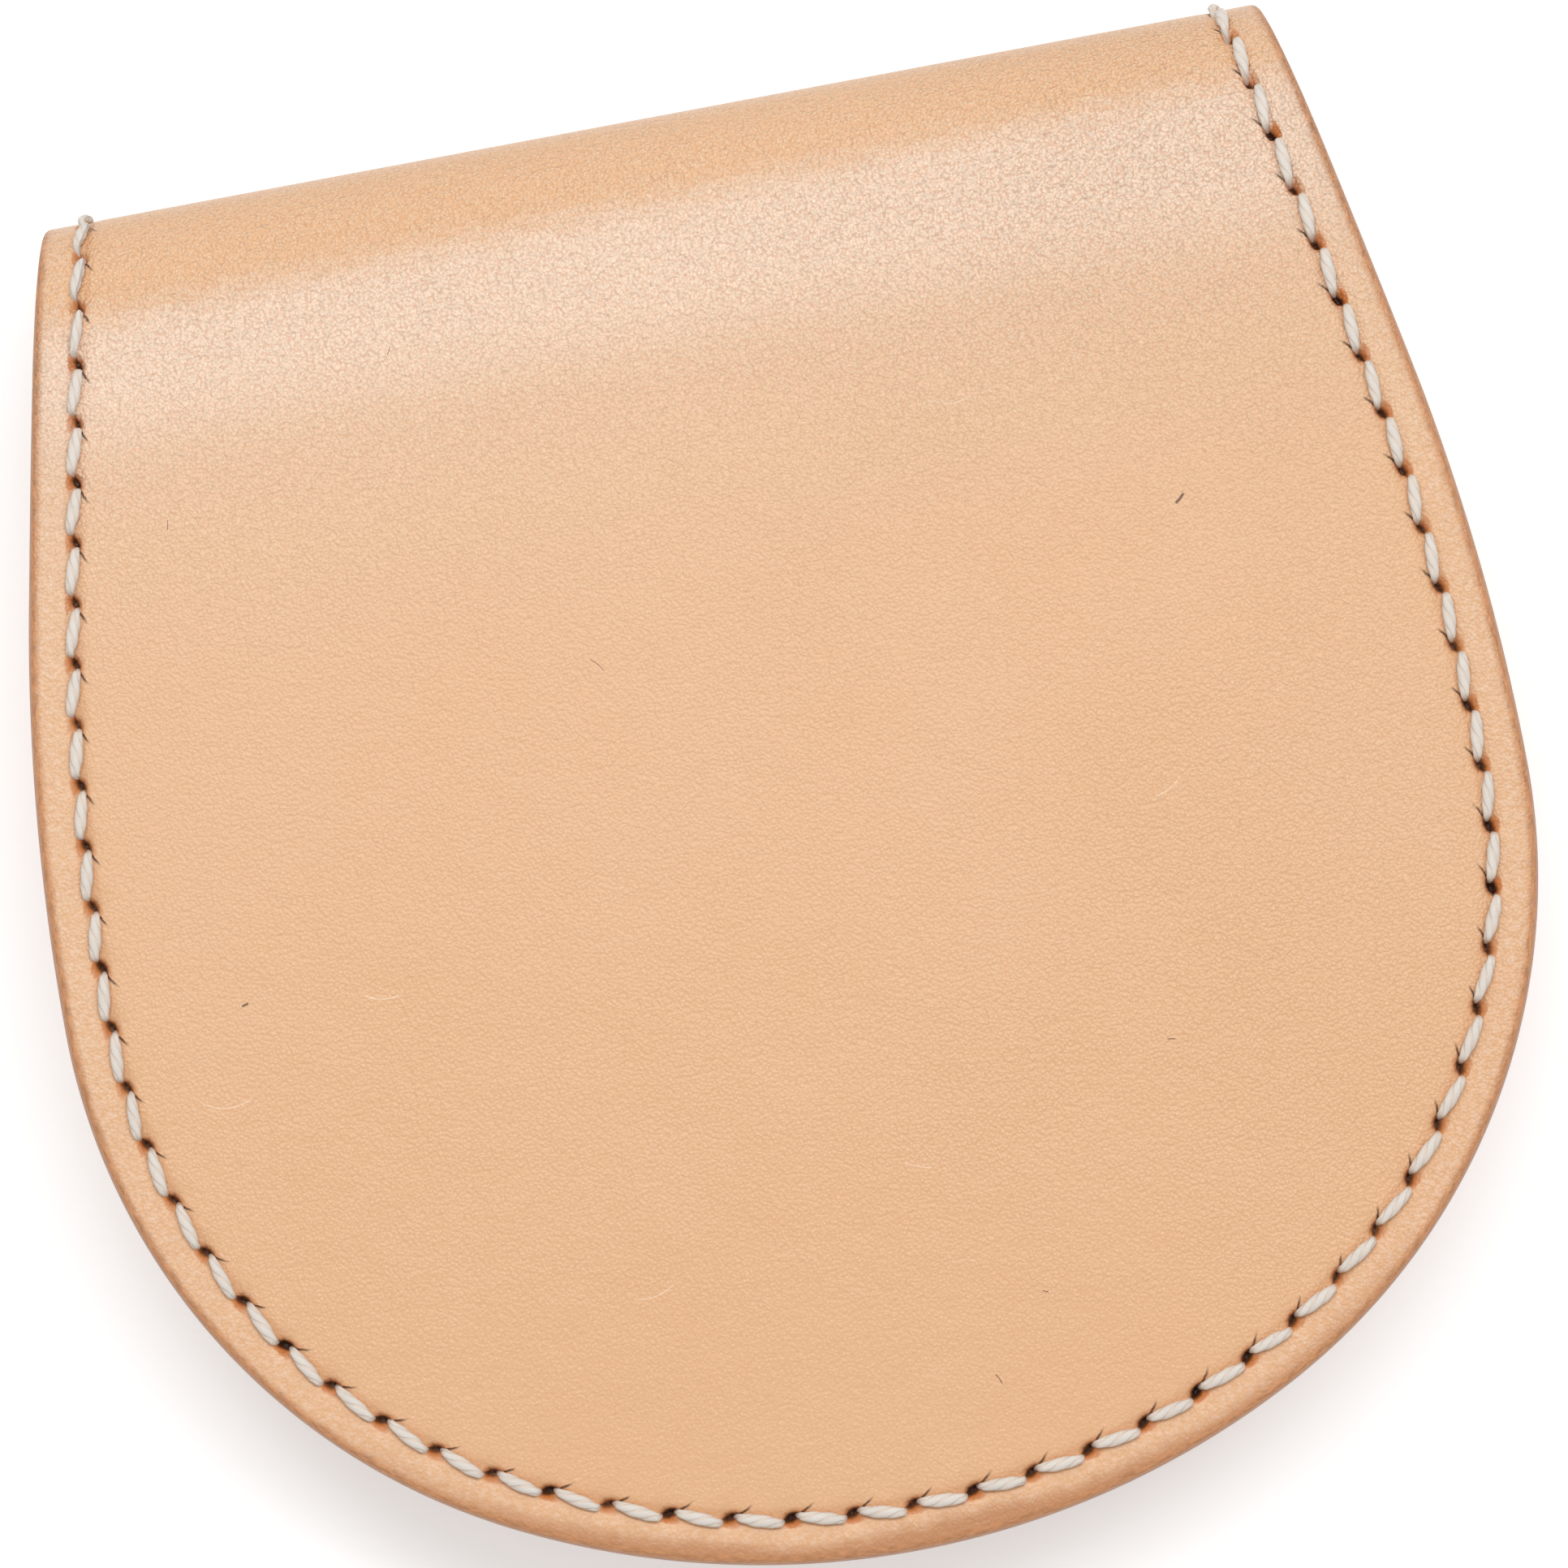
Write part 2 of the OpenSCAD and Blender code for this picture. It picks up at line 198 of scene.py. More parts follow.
def smooth(low, high, x):
    t = np.clip((x - low) / (high - low), 0, 1)
    return t * t * (3 - 2 * t)


def unit(rows):
    """The rows, each scaled to length 1."""
    return rows / np.linalg.norm(rows, axis=1)[:, None]


def run_along(points):
    """Distance of each point along the line through them."""
    return np.concatenate([[0], np.cumsum(np.linalg.norm(np.diff(points, axis=0), axis=1))])


def rotated(x, y, angle):
    """The pair turned by an angle in radians; works on arrays and on material sockets."""
    cos, sin = math.cos(angle), math.sin(angle)
    return x * cos - y * sin, x * sin + y * cos


class Profile:
    """Side profile of a leather face, by the distance run along it from its upper end.

    slope holds the face's angle to the horizontal at each run, in radians. side is 1 for the
    lid and the pocket front, whose faces look up, and -1 for the back."""

    STEP = 0.05

    def __init__(self, side, level, slope):
        self.side, self.level = side, level
        self.run = np.arange(len(slope)) * self.STEP
        self.angle = slope
        self.height = np.concatenate([[0.0], np.cumsum(np.sin(slope))[:-1]]) * self.STEP
        self.reach = np.concatenate([[0.0], np.cumsum(np.cos(slope))[:-1]]) * self.STEP
        self.tip = self.along(sizes().length)

    def at(self, run, lift=0.0):
        """(y, z) in mm at that run, lift above the face."""
        angle = np.interp(run, self.run, self.angle)
        reach = np.interp(run, self.run, self.reach)
        height = np.interp(run, self.run, self.height)
        y = sizes().fold_y - reach + np.sin(angle) * lift
        z = self.level + self.side * (height + np.cos(angle) * lift)
        return y, z

    def along(self, v):
        """Run of the point that lies v below the fold."""
        return float(np.interp(v, self.reach, self.run))


def runs():
    return np.arange(0.0, 1.25 * sizes().length, Profile.STEP)


def flat_profile(level):
    return Profile(1, level, runs() * 0)


def folded_profile(side, rise, droop):
    """The shell's face: upright at the fold's middle, tight in the bend, slow over the shoulder."""
    # Degrees shed in the tight bend and over the shoulder, and the runs that these and the droop take
    turn, ease, tight, wide, rest = 74.0, 16.0, 13.4, 28.7, 50.0
    run, scale = runs(), 1.0
    for _ in range(12):
        slope = turn * np.clip(1 - run / (tight * scale), 0, 1) ** 2
        slope += ease * np.clip(1 - run / (wide * scale), 0, 1)
        slope -= droop * np.clip((run - wide * scale) / rest, 0, 1)
        profile = Profile(side, sizes().thickness / 2, np.radians(slope))
        scale *= rise / profile.height.max()
    return profile


def lid_profile():
    p = sizes()
    return folded_profile(1, p.thickness / 2 + p.crown, p.droop)


def back_profile():
    return folded_profile(-1, sizes().thickness / 2, 0.0)


class Lobe:
    """The cut edge of one sheet, laid flat: x across, s along from the fold's middle.

    Points run down the left side, round the tip and up the right side, as the seam is sewn,
    and are counted in stitches from the hole at the tip."""

    def __init__(self, profile, start=0.0, trim=0.0, steps=14):
        p = sizes()
        self.profile, self.start, self.trim = profile, start, trim
        edge = self.trace()
        normal = self.normals(edge)
        seam = edge - normal * p.seam_inset
        run = run_along(seam)
        run -= run[-1] / 2
        self.holes = round(run[-1] / p.stitch - 0.5)
        self.pitch = run[-1] / (self.holes + 0.5)
        self.table = (run / self.pitch, edge, normal)
        last = steps * (self.holes + 0.5)
        self.count = self.below_start(np.arange(-last, last + 0.5) / steps)
        edge, self.normal = self.edge_at(self.count)
        self.edge = edge - self.normal * trim

    def trace(self):
        """The edge at its finest: by the run on the sides, evenly across the tip."""
        p, profile = sizes(), self.profile
        tip_start = profile.along(p.length - 6)
        pairs = zip(profile.run, profile.reach)
        side = np.array([(half_width(v), s) for s, v in pairs if s < tip_start])
        x = np.linspace(half_width(p.length - 6), 0, 200)
        v = np.linspace(p.length - 6, p.length, 2000)
        width = np.array([half_width(at) for at in v])
        tip = np.column_stack([x, profile.tip - p.length + np.interp(-x, -width, v)])
        right = np.vstack([side, tip])
        return np.vstack([right * (-1, 1), right[::-1][1:]])

    @staticmethod
    def normals(points):
        tangent = np.gradient(points, axis=0)
        normal = np.column_stack([-tangent[:, 1], tangent[:, 0]])
        normal[0], normal[-1] = (-1, 0), (1, 0)
        return unit(normal)

    def below_start(self, count):
        if not self.start:
            return count
        edge, normal = self.edge_at(count)
        return count[(edge - normal * self.trim)[:, 1] > self.start]

    def edge_at(self, count):
        """Edge points and outward normals at places along the seam."""
        known, *tables = self.table
        edge, normal = ([np.interp(count, known, column) for column in t.T] for t in tables)
        return np.column_stack(edge), unit(np.column_stack(normal))

    def flat(self, inset):
        """The line drawn in from this sheet's own edge, its ends on the start line."""
        line = self.edge - self.normal * inset
        if self.start:
            line[0, 1] = line[-1, 1] = self.start
        return line

    def point(self, count, outward, lift):
        """3-D places in mm on the seam: outward of it, and above the face by the lift."""
        edge, normal = self.edge_at(count)
        flat = edge - normal * (sizes().seam_inset - outward)[:, None]
        # Past the fold's middle the seam runs straight on round the bend.
        flat[:, 1] -= np.clip(np.abs(count) - (self.holes + 0.5), 0, None) * self.pitch
        s = flat[:, 1]
        y, z = self.profile.at(np.abs(s), lift)
        z = np.where(s < 0, 2 * self.profile.level - z, z)
        return np.column_stack([flat[:, 0], y, z])


# Leather sheets

# Edge profiles: share of the rim's width, share of the thickness
TOP_EDGE = (
    (0.72, 0.02), (0.5, 0.07), (0.36, 0.15), (0.27, 0.26), (0.2, 0.4),
    (0.13, 0.58), (0.07, 0.76), (0.06, 0.88), (0.14, 0.97),
)
LINING_EDGE = (
    (0.3, 0.02), (0.1, 0.1), (0.0, 0.28), (0.0, 0.5), (0.1, 0.7), (0.3, 0.86), (0.65, 0.97),
)
# Distances from the edge, in mm, of the mesh rings that carry the rim and the seam
RINGS = (
    0.8, 1.1, 1.4, 1.7, 1.95, 2.15, 2.35, 2.5, 2.65, 2.8, 2.95, 3.1, 3.25, 3.45, 3.7, 4.05, 4.5, 5.0,
)
# Spacing of the points further in, and the slant and lead of the awl holes
GRID = 1.1
SLIT_ANGLE = math.radians(25)
PIT_AHEAD = 0.2
# Width of the rounded rims, depth of the awl holes in the upper and lower face, glue between layers
OUTER_RIM, LINING_RIM, FRONT_RIM = 0.72, 0.35, 0.45
OUTER_PITS, LINING_PITS, FRONT_PITS = (0.6, 0.0), (0.0, 0.45), (0.7, 0.0)
PRESSED_LINE, SUNK_LINE = 0.12, 0.5
GLUE = 0.02
# Each sheet is cut from its own patch of the hide, so that no grain repeats
LINING_PATCH, FRONT_PATCH, GUSSET_PATCH = 20.0, 40.0, 80


def dents(count, pitch, outward, pit, line):
    """How far a seam draws the leather down, in mm: a pressed line and the awl holes."""
    near = (count + 0.5) % 1 - 0.5
    along = near * pitch - PIT_AHEAD
    pressed = line * np.exp(-((outward / (0.35 + line * 0.5)) ** 2))
    pressed *= 0.8 + 0.2 * np.cos(2 * math.pi * near)
    drawn = 0.20 * np.exp(-((outward / 0.62) ** 2) - (along / 0.75) ** 2)
    ahead, beside = rotated(along, outward, SLIT_ANGLE)
    reach = np.sqrt((ahead / 0.56) ** 2 + (beside / 0.33) ** 2)
    hole = pit * (1 - smooth(0.45, 1.0, reach))
    lip = 0.05 * np.exp(-(((reach - 1.4) / 0.35) ** 2))
    return pressed + drawn + hole - lip


def row_places(profile, start):
    """Runs of the rows across a sheet, closer together where it bends."""
    out, s = [], start
    while s < profile.tip:
        out.append(s)
        s += 0.08 if s - start < 0.32 else 0.3 if s < 16 else 0.6 if s < 30 else 1.2
    return out


def fill(ring, profile, start):
    """Triangles on the flat sheet inside its innermost ring.

    Gives the points, the triangles, and where the ring and the start line are among the points."""
    half = len(ring) // 2
    heights, widths = ring[: half + 1, 1], np.abs(ring[: half + 1, 0])
    points = [Vector(p) for p in ring]
    for s in row_places(profile, start)[1:]:
        if s > heights.max() - 0.35:
            break
        columns = int((np.interp(s, heights, widths) - 0.35) / GRID)
        points += [Vector((j * GRID, s)) for j in range(-columns, columns + 1)]
    columns = int(widths[0] / GRID - 0.2)
    base = len(points)
    points += [Vector((j * GRID, ring[0, 1])) for j in range(-columns, columns + 1)]
    loop = list(range(len(ring))) + list(range(len(points) - 1, base - 1, -1))
    edges = list(zip(loop, loop[1:] + loop[:1]))
    made = geometry.delaunay_2d_cdt(points, edges, [], 1, 1e-7)
    new_of = {old: new for new, olds in enumerate(made[3]) for old in olds}
    ring_at = [new_of[i] for i in range(len(ring))]
    line_at = [new_of[i] for i in range(base, len(points))]
    return np.array([v[:] for v in made[0]]), made[2], ring_at, line_at


class Sheet:
    """Leather between two heights above a lobe's face, zero or negative, as one closed mesh.

    pits holds the depth of the awl holes in its upper and lower face."""

    def __init__(self, lobe, top, bottom, rim, edge, pits, line=PRESSED_LINE, patch=0.0):
        self.lobe, self.line, self.patch = lobe, line, patch
        self.co, self.faces = [], []
        self.marks = {"hide": [], "seam": [], "rim": []}
        rings = (rim,) + tuple(r for r in RINGS if r > rim)
        upper = self.face(rings, top, pits[0], 1)
        lower = self.face(rings, bottom, pits[1], -1)
        strips = [upper["ring"]]
        for inset, share in edge:
            strips.append(self.ring(inset * rim, top + (bottom - top) * share, share))
        strips.append(lower["ring"])
        for a, b in zip(strips, strips[1:]):
            self.faces += [(a[i], b[i], b[i + 1], a[i + 1]) for i in range(len(a) - 1)]
        left = [strip[0] for strip in strips]
        right = [strip[-1] for strip in strips]
        self.cap(left + lower["start"][1:-1] + right[::-1] + upper["start"][1:-1][::-1])

    def place(self, flat, height, inset, count, share, sink=0.0):
        """Adds points given on the flat sheet and returns their numbers."""
        lobe = self.lobe
        x, s = flat[:, 0], flat[:, 1]
        same = np.ones(len(x))
        if lobe.start:
            # The cut at the mouth is rounded off like the other edges.
            inset = np.minimum(inset, s - lobe.start)
            round_off = 0.3 * (1 - smooth(0, 0.45, s - lobe.start))
            sink = sink + round_off * (1 - 2 * share)
        y, z = lobe.profile.at(s, height - sink)
        first = sum(len(c) for c in self.co)
        self.co.append(np.column_stack([x, y, z]))
        depth = same * (height + self.patch)
        self.marks["hide"].append(np.column_stack([x, s * lobe.profile.side, depth]))
        outward = sizes().seam_inset - lobe.trim - inset
        self.marks["seam"].append(np.column_stack([count, outward, same * lobe.pitch]))
        self.marks["rim"].append(np.column_stack([inset, same * share, same * 0]))
        return list(range(first, first + len(x)))

    def ring(self, inset, height, share, pit=0.0, up=1):
        lobe = self.lobe
        across = np.full(len(lobe.count), float(inset))
        outward = sizes().seam_inset - lobe.trim - across
        sink = dents(lobe.count, lobe.pitch, outward, pit, self.line) * up if pit else 0.0
        return self.place(lobe.flat(inset), height, across, lobe.count, share, sink)

    def face(self, rings, height, pit, up):
        """One face of the sheet: rings along the edge and a grid inside them."""
        share = 0.0 if up > 0 else 1.0
        loops = [self.ring(r, height, share, pit, up) for r in rings]
        for a, b in zip(loops, loops[1:]):
            quads = [(b[i], a[i], a[i + 1], b[i + 1]) for i in range(len(a) - 1)]
            self.faces += quads if up > 0 else [q[::-1] for q in quads]
        lobe = self.lobe
        flat, triangles, ring_at, line_at = fill(lobe.flat(rings[-1]), lobe.profile, lobe.start)
        number = dict(zip(ring_at, loops[-1]))
        rest = [j for j in range(len(flat)) if j not in number]
        far = np.full(len(rest), 20.0)
        number.update(zip(rest, self.place(flat[rest], height, far, far * 0, share)))
        for triangle in triangles:
            a, b, c = flat[list(triangle)]
            leftward = (b[0] - a[0]) * (c[1] - a[1]) - (c[0] - a[0]) * (b[1] - a[1]) > 0
            turned_round = triangle if leftward != (up > 0) else triangle[::-1]
            self.faces.append(tuple(number[j] for j in turned_round))
        start = [loop[0] for loop in loops] + [number[j] for j in line_at]
        start += [loop[-1] for loop in loops[::-1]]
        return {"ring": loops[0], "start": start}

    def cap(self, loop):
        """Closes the cut at the start line, with points of its own so that the cut stays sharp."""
        loop = list(dict.fromkeys(loop))
        first = sum(len(c) for c in self.co)
        self.co.append(np.vstack(self.co)[loop])
        for values in self.marks.values():
            values.append(np.vstack(values)[loop])
        self.faces.append(tuple(range(first, first + len(loop))))

    def build(self, name):
        faces = self.faces if self.lobe.profile.side > 0 else [f[::-1] for f in self.faces]
        return new_piece(name, np.vstack(self.co), faces, self.marks)


def new_piece(name, co_mm, faces, marks=None):
    """A smooth mesh object from points in mm, lying in the frame.

    marks holds three numbers for each point, by name, for the material to read."""
    mesh = bpy.data.meshes.new(name)
    mesh.from_pydata((np.asarray(co_mm) * MM).tolist(), [], faces)
    mesh.update()
    mesh.polygons.foreach_set("use_smooth", [True] * len(mesh.polygons))
    piece = bpy.data.objects.new(name, mesh)
    bpy.context.scene.collection.objects.link(piece)
    for key, values in (marks or {}).items():
        layer = mesh.attributes.new(key, "FLOAT_VECTOR", "POINT")
        layer.data.foreach_set("vector", np.vstack(values).astype(np.float32).ravel())
    return piece


# Gusset


def channel_section():
    """The gusset's cross-section: (inset, height) round its outline, run along it, free distance.

    A back flange, a wall that is creased inward, and a front flange, with rounded folds."""
    p = sizes()
    t = p.strip
    low, high = GUSSET_LOW[2] + t / 2, GUSSET_HIGH[2] - t / 2
    edge, wall, bend = p.trim + t / 2, p.trim + p.flange + t / 2, 1.3
    path = [(x, low) for x in np.linspace(edge, wall - bend, 8)]
    turn = np.linspace(0, math.pi / 2, 7)[1:]
    path += [(wall - bend + bend * math.sin(a), low + bend - bend * math.cos(a)) for a in turn]
    lower = path[::-1]
    for h in np.linspace(0, 1, 12)[1:-1]:
        crease = 0.7 * math.sin(math.pi * h) ** 2
        path.append((wall + crease, low + bend + h * (high - low - 2 * bend)))
    path += [(x, low + high - z) for x, z in lower]
    path = np.array(path)
    tangent = unit(np.gradient(path, axis=0))
    normal = np.column_stack([-tangent[:, 1], tangent[:, 0]])
    run = run_along(path)
    nose = [(math.sin(a), math.cos(a)) for a in np.linspace(0, math.pi, 7)[1:-1]]
    ends = []
    for at, way in ((-1, 1), (0, -1)):
        ends.append([path[at] + (tangent[at] * s + normal[at] * c) * way * t / 2 for s, c in nose])
    outline = np.vstack([path + normal * t / 2, ends[0], (path - normal * t / 2)[::-1], ends[1]])
    along = np.concatenate([run, [run[-1]] * len(nose), run[::-1], [0] * len(nose)])
    return outline, along, np.minimum(along, run[-1] - along), len(path)


def build_gusset():
    """The strip, swept along the lobe; its lower flange follows the back up its bend."""
    profile = back_profile()
    lobe = Lobe(profile, start=profile.along(sizes().mouth), steps=6)
    outline, along, free, half = channel_section()
    low, high = GUSSET_LOW[2], GUSSET_HIGH[2]
    co, marks = [], {"hide": [], "seam": [], "rim": []}
    for (inset, height), a, f in zip(outline, along, free):
        flat = lobe.flat(inset)
        y, z = profile.at(flat[:, 1])
        held = min(max((high - height) / (high - low), 0), 1)
        co.append(np.column_stack([flat[:, 0], y, height + z * held]))
        same = np.ones(len(flat))
        outward = same * (sizes().seam_inset - inset)
        marks["hide"].append(np.column_stack([lobe.count * lobe.pitch, same * a, same * GUSSET_PATCH]))
        marks["seam"].append(np.column_stack([lobe.count, outward, same * lobe.pitch]))
        marks["rim"].append(np.column_stack([same * f, same * 0.5, same * 0]))
    n, m = len(lobe.count), len(outline)
    faces = []
    for j in range(m):
        k = (j + 1) % m
        faces += [(j * n + i, j * n + i + 1, k * n + i + 1, k * n + i) for i in range(n - 1)]
    caps = [(j, j + 1, m - 7 - j, m - 6 - j) for j in range(half - 1)]
    caps += [tuple(range(half - 1, half + 6)), (*range(m - 6, m), 0)]
    faces += [tuple(q * n for q in cap) for cap in caps]
    faces += [tuple(q * n + n - 1 for q in cap[::-1]) for cap in caps]
    return new_piece("gusset_strip", np.vstack(co), faces, marks)


def ring_quads(rings, sides, closed=False):
    """Faces between neighbouring rings of points, each ring with that many sides."""
    faces = []
    for i in range(rings if closed else rings - 1):
        a, b = i * sides, (i + 1) % rings * sides
        faces += [(a + j, b + j, b + (j + 1) % sides, a + (j + 1) % sides) for j in range(sides)]
    return faces


# Thread

# Mesh of one stitch, twist in radians a mm, height over width, and the plies wound together
THREAD_SIDES = 12
THREAD_RINGS = 26
THREAD_TWIST = 1.9
THREAD_FLAT = 0.78
PLIES = 3


def strand(path, radii, phase):
    """Points, faces and marks of a laid cord along a path: plies that wind round each other."""
    tangent = unit(np.gradient(path, axis=0))
    side = np.cross(tangent[0], (0.0, 0.0, 1.0))
    if np.linalg.norm(side) < 0.2:
        side = np.cross(tangent[0], (1.0, 0.0, 0.0))
    turn = np.arange(THREAD_SIDES) * 2 * math.pi / THREAD_SIDES
    co, marks = [], []
    for p, t, r, length in zip(path, tangent, radii, run_along(path)):
        side = side - t * np.dot(side, t)
        side /= np.linalg.norm(side)
        top = np.cross(side, t) * THREAD_FLAT
        reach = r * (1 + 0.05 * np.cos(PLIES * (turn - THREAD_TWIST * length) + phase))
        co.append(p + np.outer(np.cos(turn) * reach, side) + np.outer(np.sin(turn) * reach, top))
        marks.append(np.column_stack([turn * 0 + length, turn, turn * 0 + phase]))
    last = (len(path) - 1) * THREAD_SIDES
    faces = ring_quads(len(path), THREAD_SIDES)
    faces.append(tuple(range(THREAD_SIDES)))
    faces.append(tuple(last + j for j in reversed(range(THREAD_SIDES))))
    return np.vstack(co), faces, np.vstack(marks)


def wobble(k, seed):
    """A steady small irregularity from -1 to 1 for stitch k."""
    return math.sin(12.9898 * (k + 1.7) + 78.233 * seed) * math.cos(4.1414 * k + seed)


class Thread:
    """All the stitches of one run, gathered in one mesh."""

    def __init__(self, lobe, seed):
        self.lobe, self.seed = lobe, seed
        self.co, self.faces, self.marks = [], [], []
        self.points = 0

    def stitch(self, k, lift, bore, proud, slant, sign):
        """One stitch from the hole k to the next on a face at the lift; sign -1 is an inner face."""
        seed, r = self.seed, sizes().thread / 2
        t = np.linspace(0, 1, THREAD_RINGS)
        begin, end = 0.125 + 0.012 * wobble(k, seed), 0.955 + 0.012 * wobble(k, seed + 1)
        count = k + begin + (end - begin) * t
        rise = smooth(0.0, 0.14, t) * (1 - smooth(0.88, 1.0, t))
        height = lift + sign * ((bore + proud) * rise - bore)
        inner, outer = -0.12 + 0.05 * wobble(k, seed + 2), 0.33 + 0.06 * wobble(k, seed + 3)
        outward = slant * (inner + (outer - inner) * t)
        full = smooth(0.0, 0.42, t) * (1 - smooth(0.62, 1.0, t))
        radii = r * (0.62 + 0.46 * full + 0.05 * wobble(k, seed + 5))
        path = self.lobe.point(count, outward, height)
        co, faces, marks = strand(path, radii, 2.1 * wobble(k, seed + 4))
        self.faces += [tuple(self.points + i for i in face) for face in faces]
        self.points += len(co)
        self.co.append(co)
        self.marks.append(marks)

    def sew(self, first, last, lift, bore=1.1, proud=0.22, slant=1.0, sign=1):
        for k in range(first, last + 1):
            self.stitch(k, lift, bore, proud, slant, sign)

    def sew_inside(self, first, last, lift):
        self.sew(first, last, lift, 0.5, 0.22, -0.7, -1)

    def build(self, name):
        return new_piece(name, np.vstack(self.co), self.faces, {"lay": self.marks})


# Turned parts

BRASS_ROUND = 0.12


def turned(name, place, profile, segments=96):
    """A closed body of revolution round the upright line through place, from (radius, height)."""
    angle = np.arange(segments) * 2 * math.pi / segments
    co = [(place[0] + r * math.cos(a), place[1] + r * math.sin(a), h) for a in angle for r, h in profile]
    return new_piece(name, co, ring_quads(segments, len(profile), closed=True))


def rounded(profile, radius):
    """The profile with each corner cut into a small round, of that radius or less."""
    out = []
    points = [np.array(p, float) for p in profile]
    for before, here, after in zip(points[-1:] + points[:-1], points, points[1:] + points[:1]):
        a, b = before - here, after - here
        cut = min(radius, 0.45 * np.linalg.norm(a), 0.45 * np.linalg.norm(b))
        a, b = here + a / np.linalg.norm(a) * cut, here + b / np.linalg.norm(b) * cut
        out += [(1 - t) ** 2 * a + 2 * t * (1 - t) * here + t * t * b for t in np.linspace(0, 1, 5)]
    return out


# Finishes


def arithmetic(operation, reflected=False):
    """A method that joins a socket and another value in a Math node."""

    def forward(self, other):
        return self.finish.math(operation, self, other)

    def backward(self, other):
        return self.finish.math(operation, other, self)

    return backward if reflected else forward


class Wire:
    """A socket of a material. Arithmetic on it adds Math nodes."""

    __add__ = __radd__ = arithmetic("ADD")
    __mul__ = __rmul__ = arithmetic("MULTIPLY")
    __sub__, __rsub__ = arithmetic("SUBTRACT"), arithmetic("SUBTRACT", reflected=True)
    __truediv__, __rtruediv__ = arithmetic("DIVIDE"), arithmetic("DIVIDE", reflected=True)
    __pow__ = arithmetic("POWER")
    most = arithmetic("MAXIMUM")

    def __init__(self, finish, socket):
        self.finish, self.socket = finish, socket

    def __neg__(self):
        return self * -1.0

    def __abs__(self):
        return self.finish.math("ABSOLUTE", self)

    def fraction(self):
        return self.finish.math("FRACT", self)

    def cosine(self):
        return self.finish.math("COSINE", self)

    def step(self, low, high):
        """0 at low and 1 at high, smooth between; low may be the greater one."""
        settings = {"interpolation_type": "SMOOTHSTEP", "clamp": True}
        inputs = {"Value": self, "From Min": low, "From Max": high}
        return self.finish.node("ShaderNodeMapRange", settings, inputs)


class Finish:
    """A material under construction. Its node method adds every node."""

    def __init__(self, name):
        self.material = bpy.data.materials.new(name)
        self.material.use_nodes = True
        self.tree = self.material.node_tree
        self.tree.nodes.clear()

    def node(self, kind, settings=None, inputs=None, output=0):
        made = self.tree.nodes.new(kind)
        for key, value in (settings or {}).items():
            setattr(made, key, value)
        for key, value in (inputs or {}).items():
            if isinstance(value, Wire):
                self.tree.links.new(value.socket, made.inputs[key])
            else:
                made.inputs[key].default_value = value
        return Wire(self, made.outputs[output])

    def math(self, operation, *values):
        return self.node("ShaderNodeMath", {"operation": operation}, dict(enumerate(values)))

    def marks(self, name):
        """The three numbers stored on the points under that name."""
        vector = self.node("ShaderNodeAttribute", {"attribute_name": name}, output="Vector")
        return [self.node("ShaderNodeSeparateXYZ", None, {0: vector}, i) for i in range(3)]

    def vector(self, x, y, z):
        return self.node("ShaderNodeCombineXYZ", None, {0: x, 1: y, 2: z})

    def noise(self, place, scale, detail=2.0, rough=0.5, output="Fac"):
        inputs = {"Vector": place, "Scale": scale, "Detail": detail, "Roughness": rough}
        return self.node("ShaderNodeTexNoise", None, inputs, output)

    def cells(self, place, scale):
        return self.node("ShaderNodeTexVoronoi", None, {"Vector": place, "Scale": scale}, "Distance")

    def warped(self, place, scale, amount):
        """The place, pushed about by a noise of that scale."""
        push = self.noise(place, scale, 1.0, output="Color")
        inputs = {0: push, 1: (amount,) * 3, 2: place}
        return self.node("ShaderNodeVectorMath", {"operation": "MULTIPLY_ADD"}, inputs)

    def mix(self, share, a, b):
        """Blends two colours, each a wire or three numbers."""
        a, b = ((*c, 1.0) if isinstance(c, tuple) else c for c in (a, b))
        settings = {"data_type": "RGBA", "clamp_factor": True}
        return self.node("ShaderNodeMix", settings, {0: share, 6: a, 7: b}, 2)

    def bump(self, height, distance, under=None):
        inputs = {"Height": height, "Distance": distance}
        if under:
            inputs["Normal"] = under
        return self.node("ShaderNodeBump", None, inputs)

    def surface(self, **inputs):
        """Ends the material in one Principled shader; names have _ where a socket has a space."""
        named = {key.replace("_", " "): value for key, value in inputs.items()}
        shader = self.node("ShaderNodeBsdfPrincipled", None, named)
        end = self.tree.nodes.new("ShaderNodeOutputMaterial")
        self.tree.links.new(shader.socket, end.inputs["Surface"])
        return self.material


def shade(colour_value, times=1.0):
    return tuple(min(1.0, c * times) for c in colour_value)


class Hide:
    """What the leather materials read from a sheet: its own plan, the seam and the cut edge."""

    def __init__(self, f):
        self.plan = f.node("ShaderNodeAttribute", {"attribute_name": "hide"}, output="Vector")
        self.x, self.s, self.depth = f.marks("hide")
        self.count, self.outward, self.pitch = f.marks("seam")
        self.inset, self.share, _ = f.marks("rim")
        self.fine = f.noise(self.plan, 2.4, 3.0, 0.6)
        self.on_seam = self.inset.step(0.6, 0.75) * self.inset.step(5.0, 4.6)


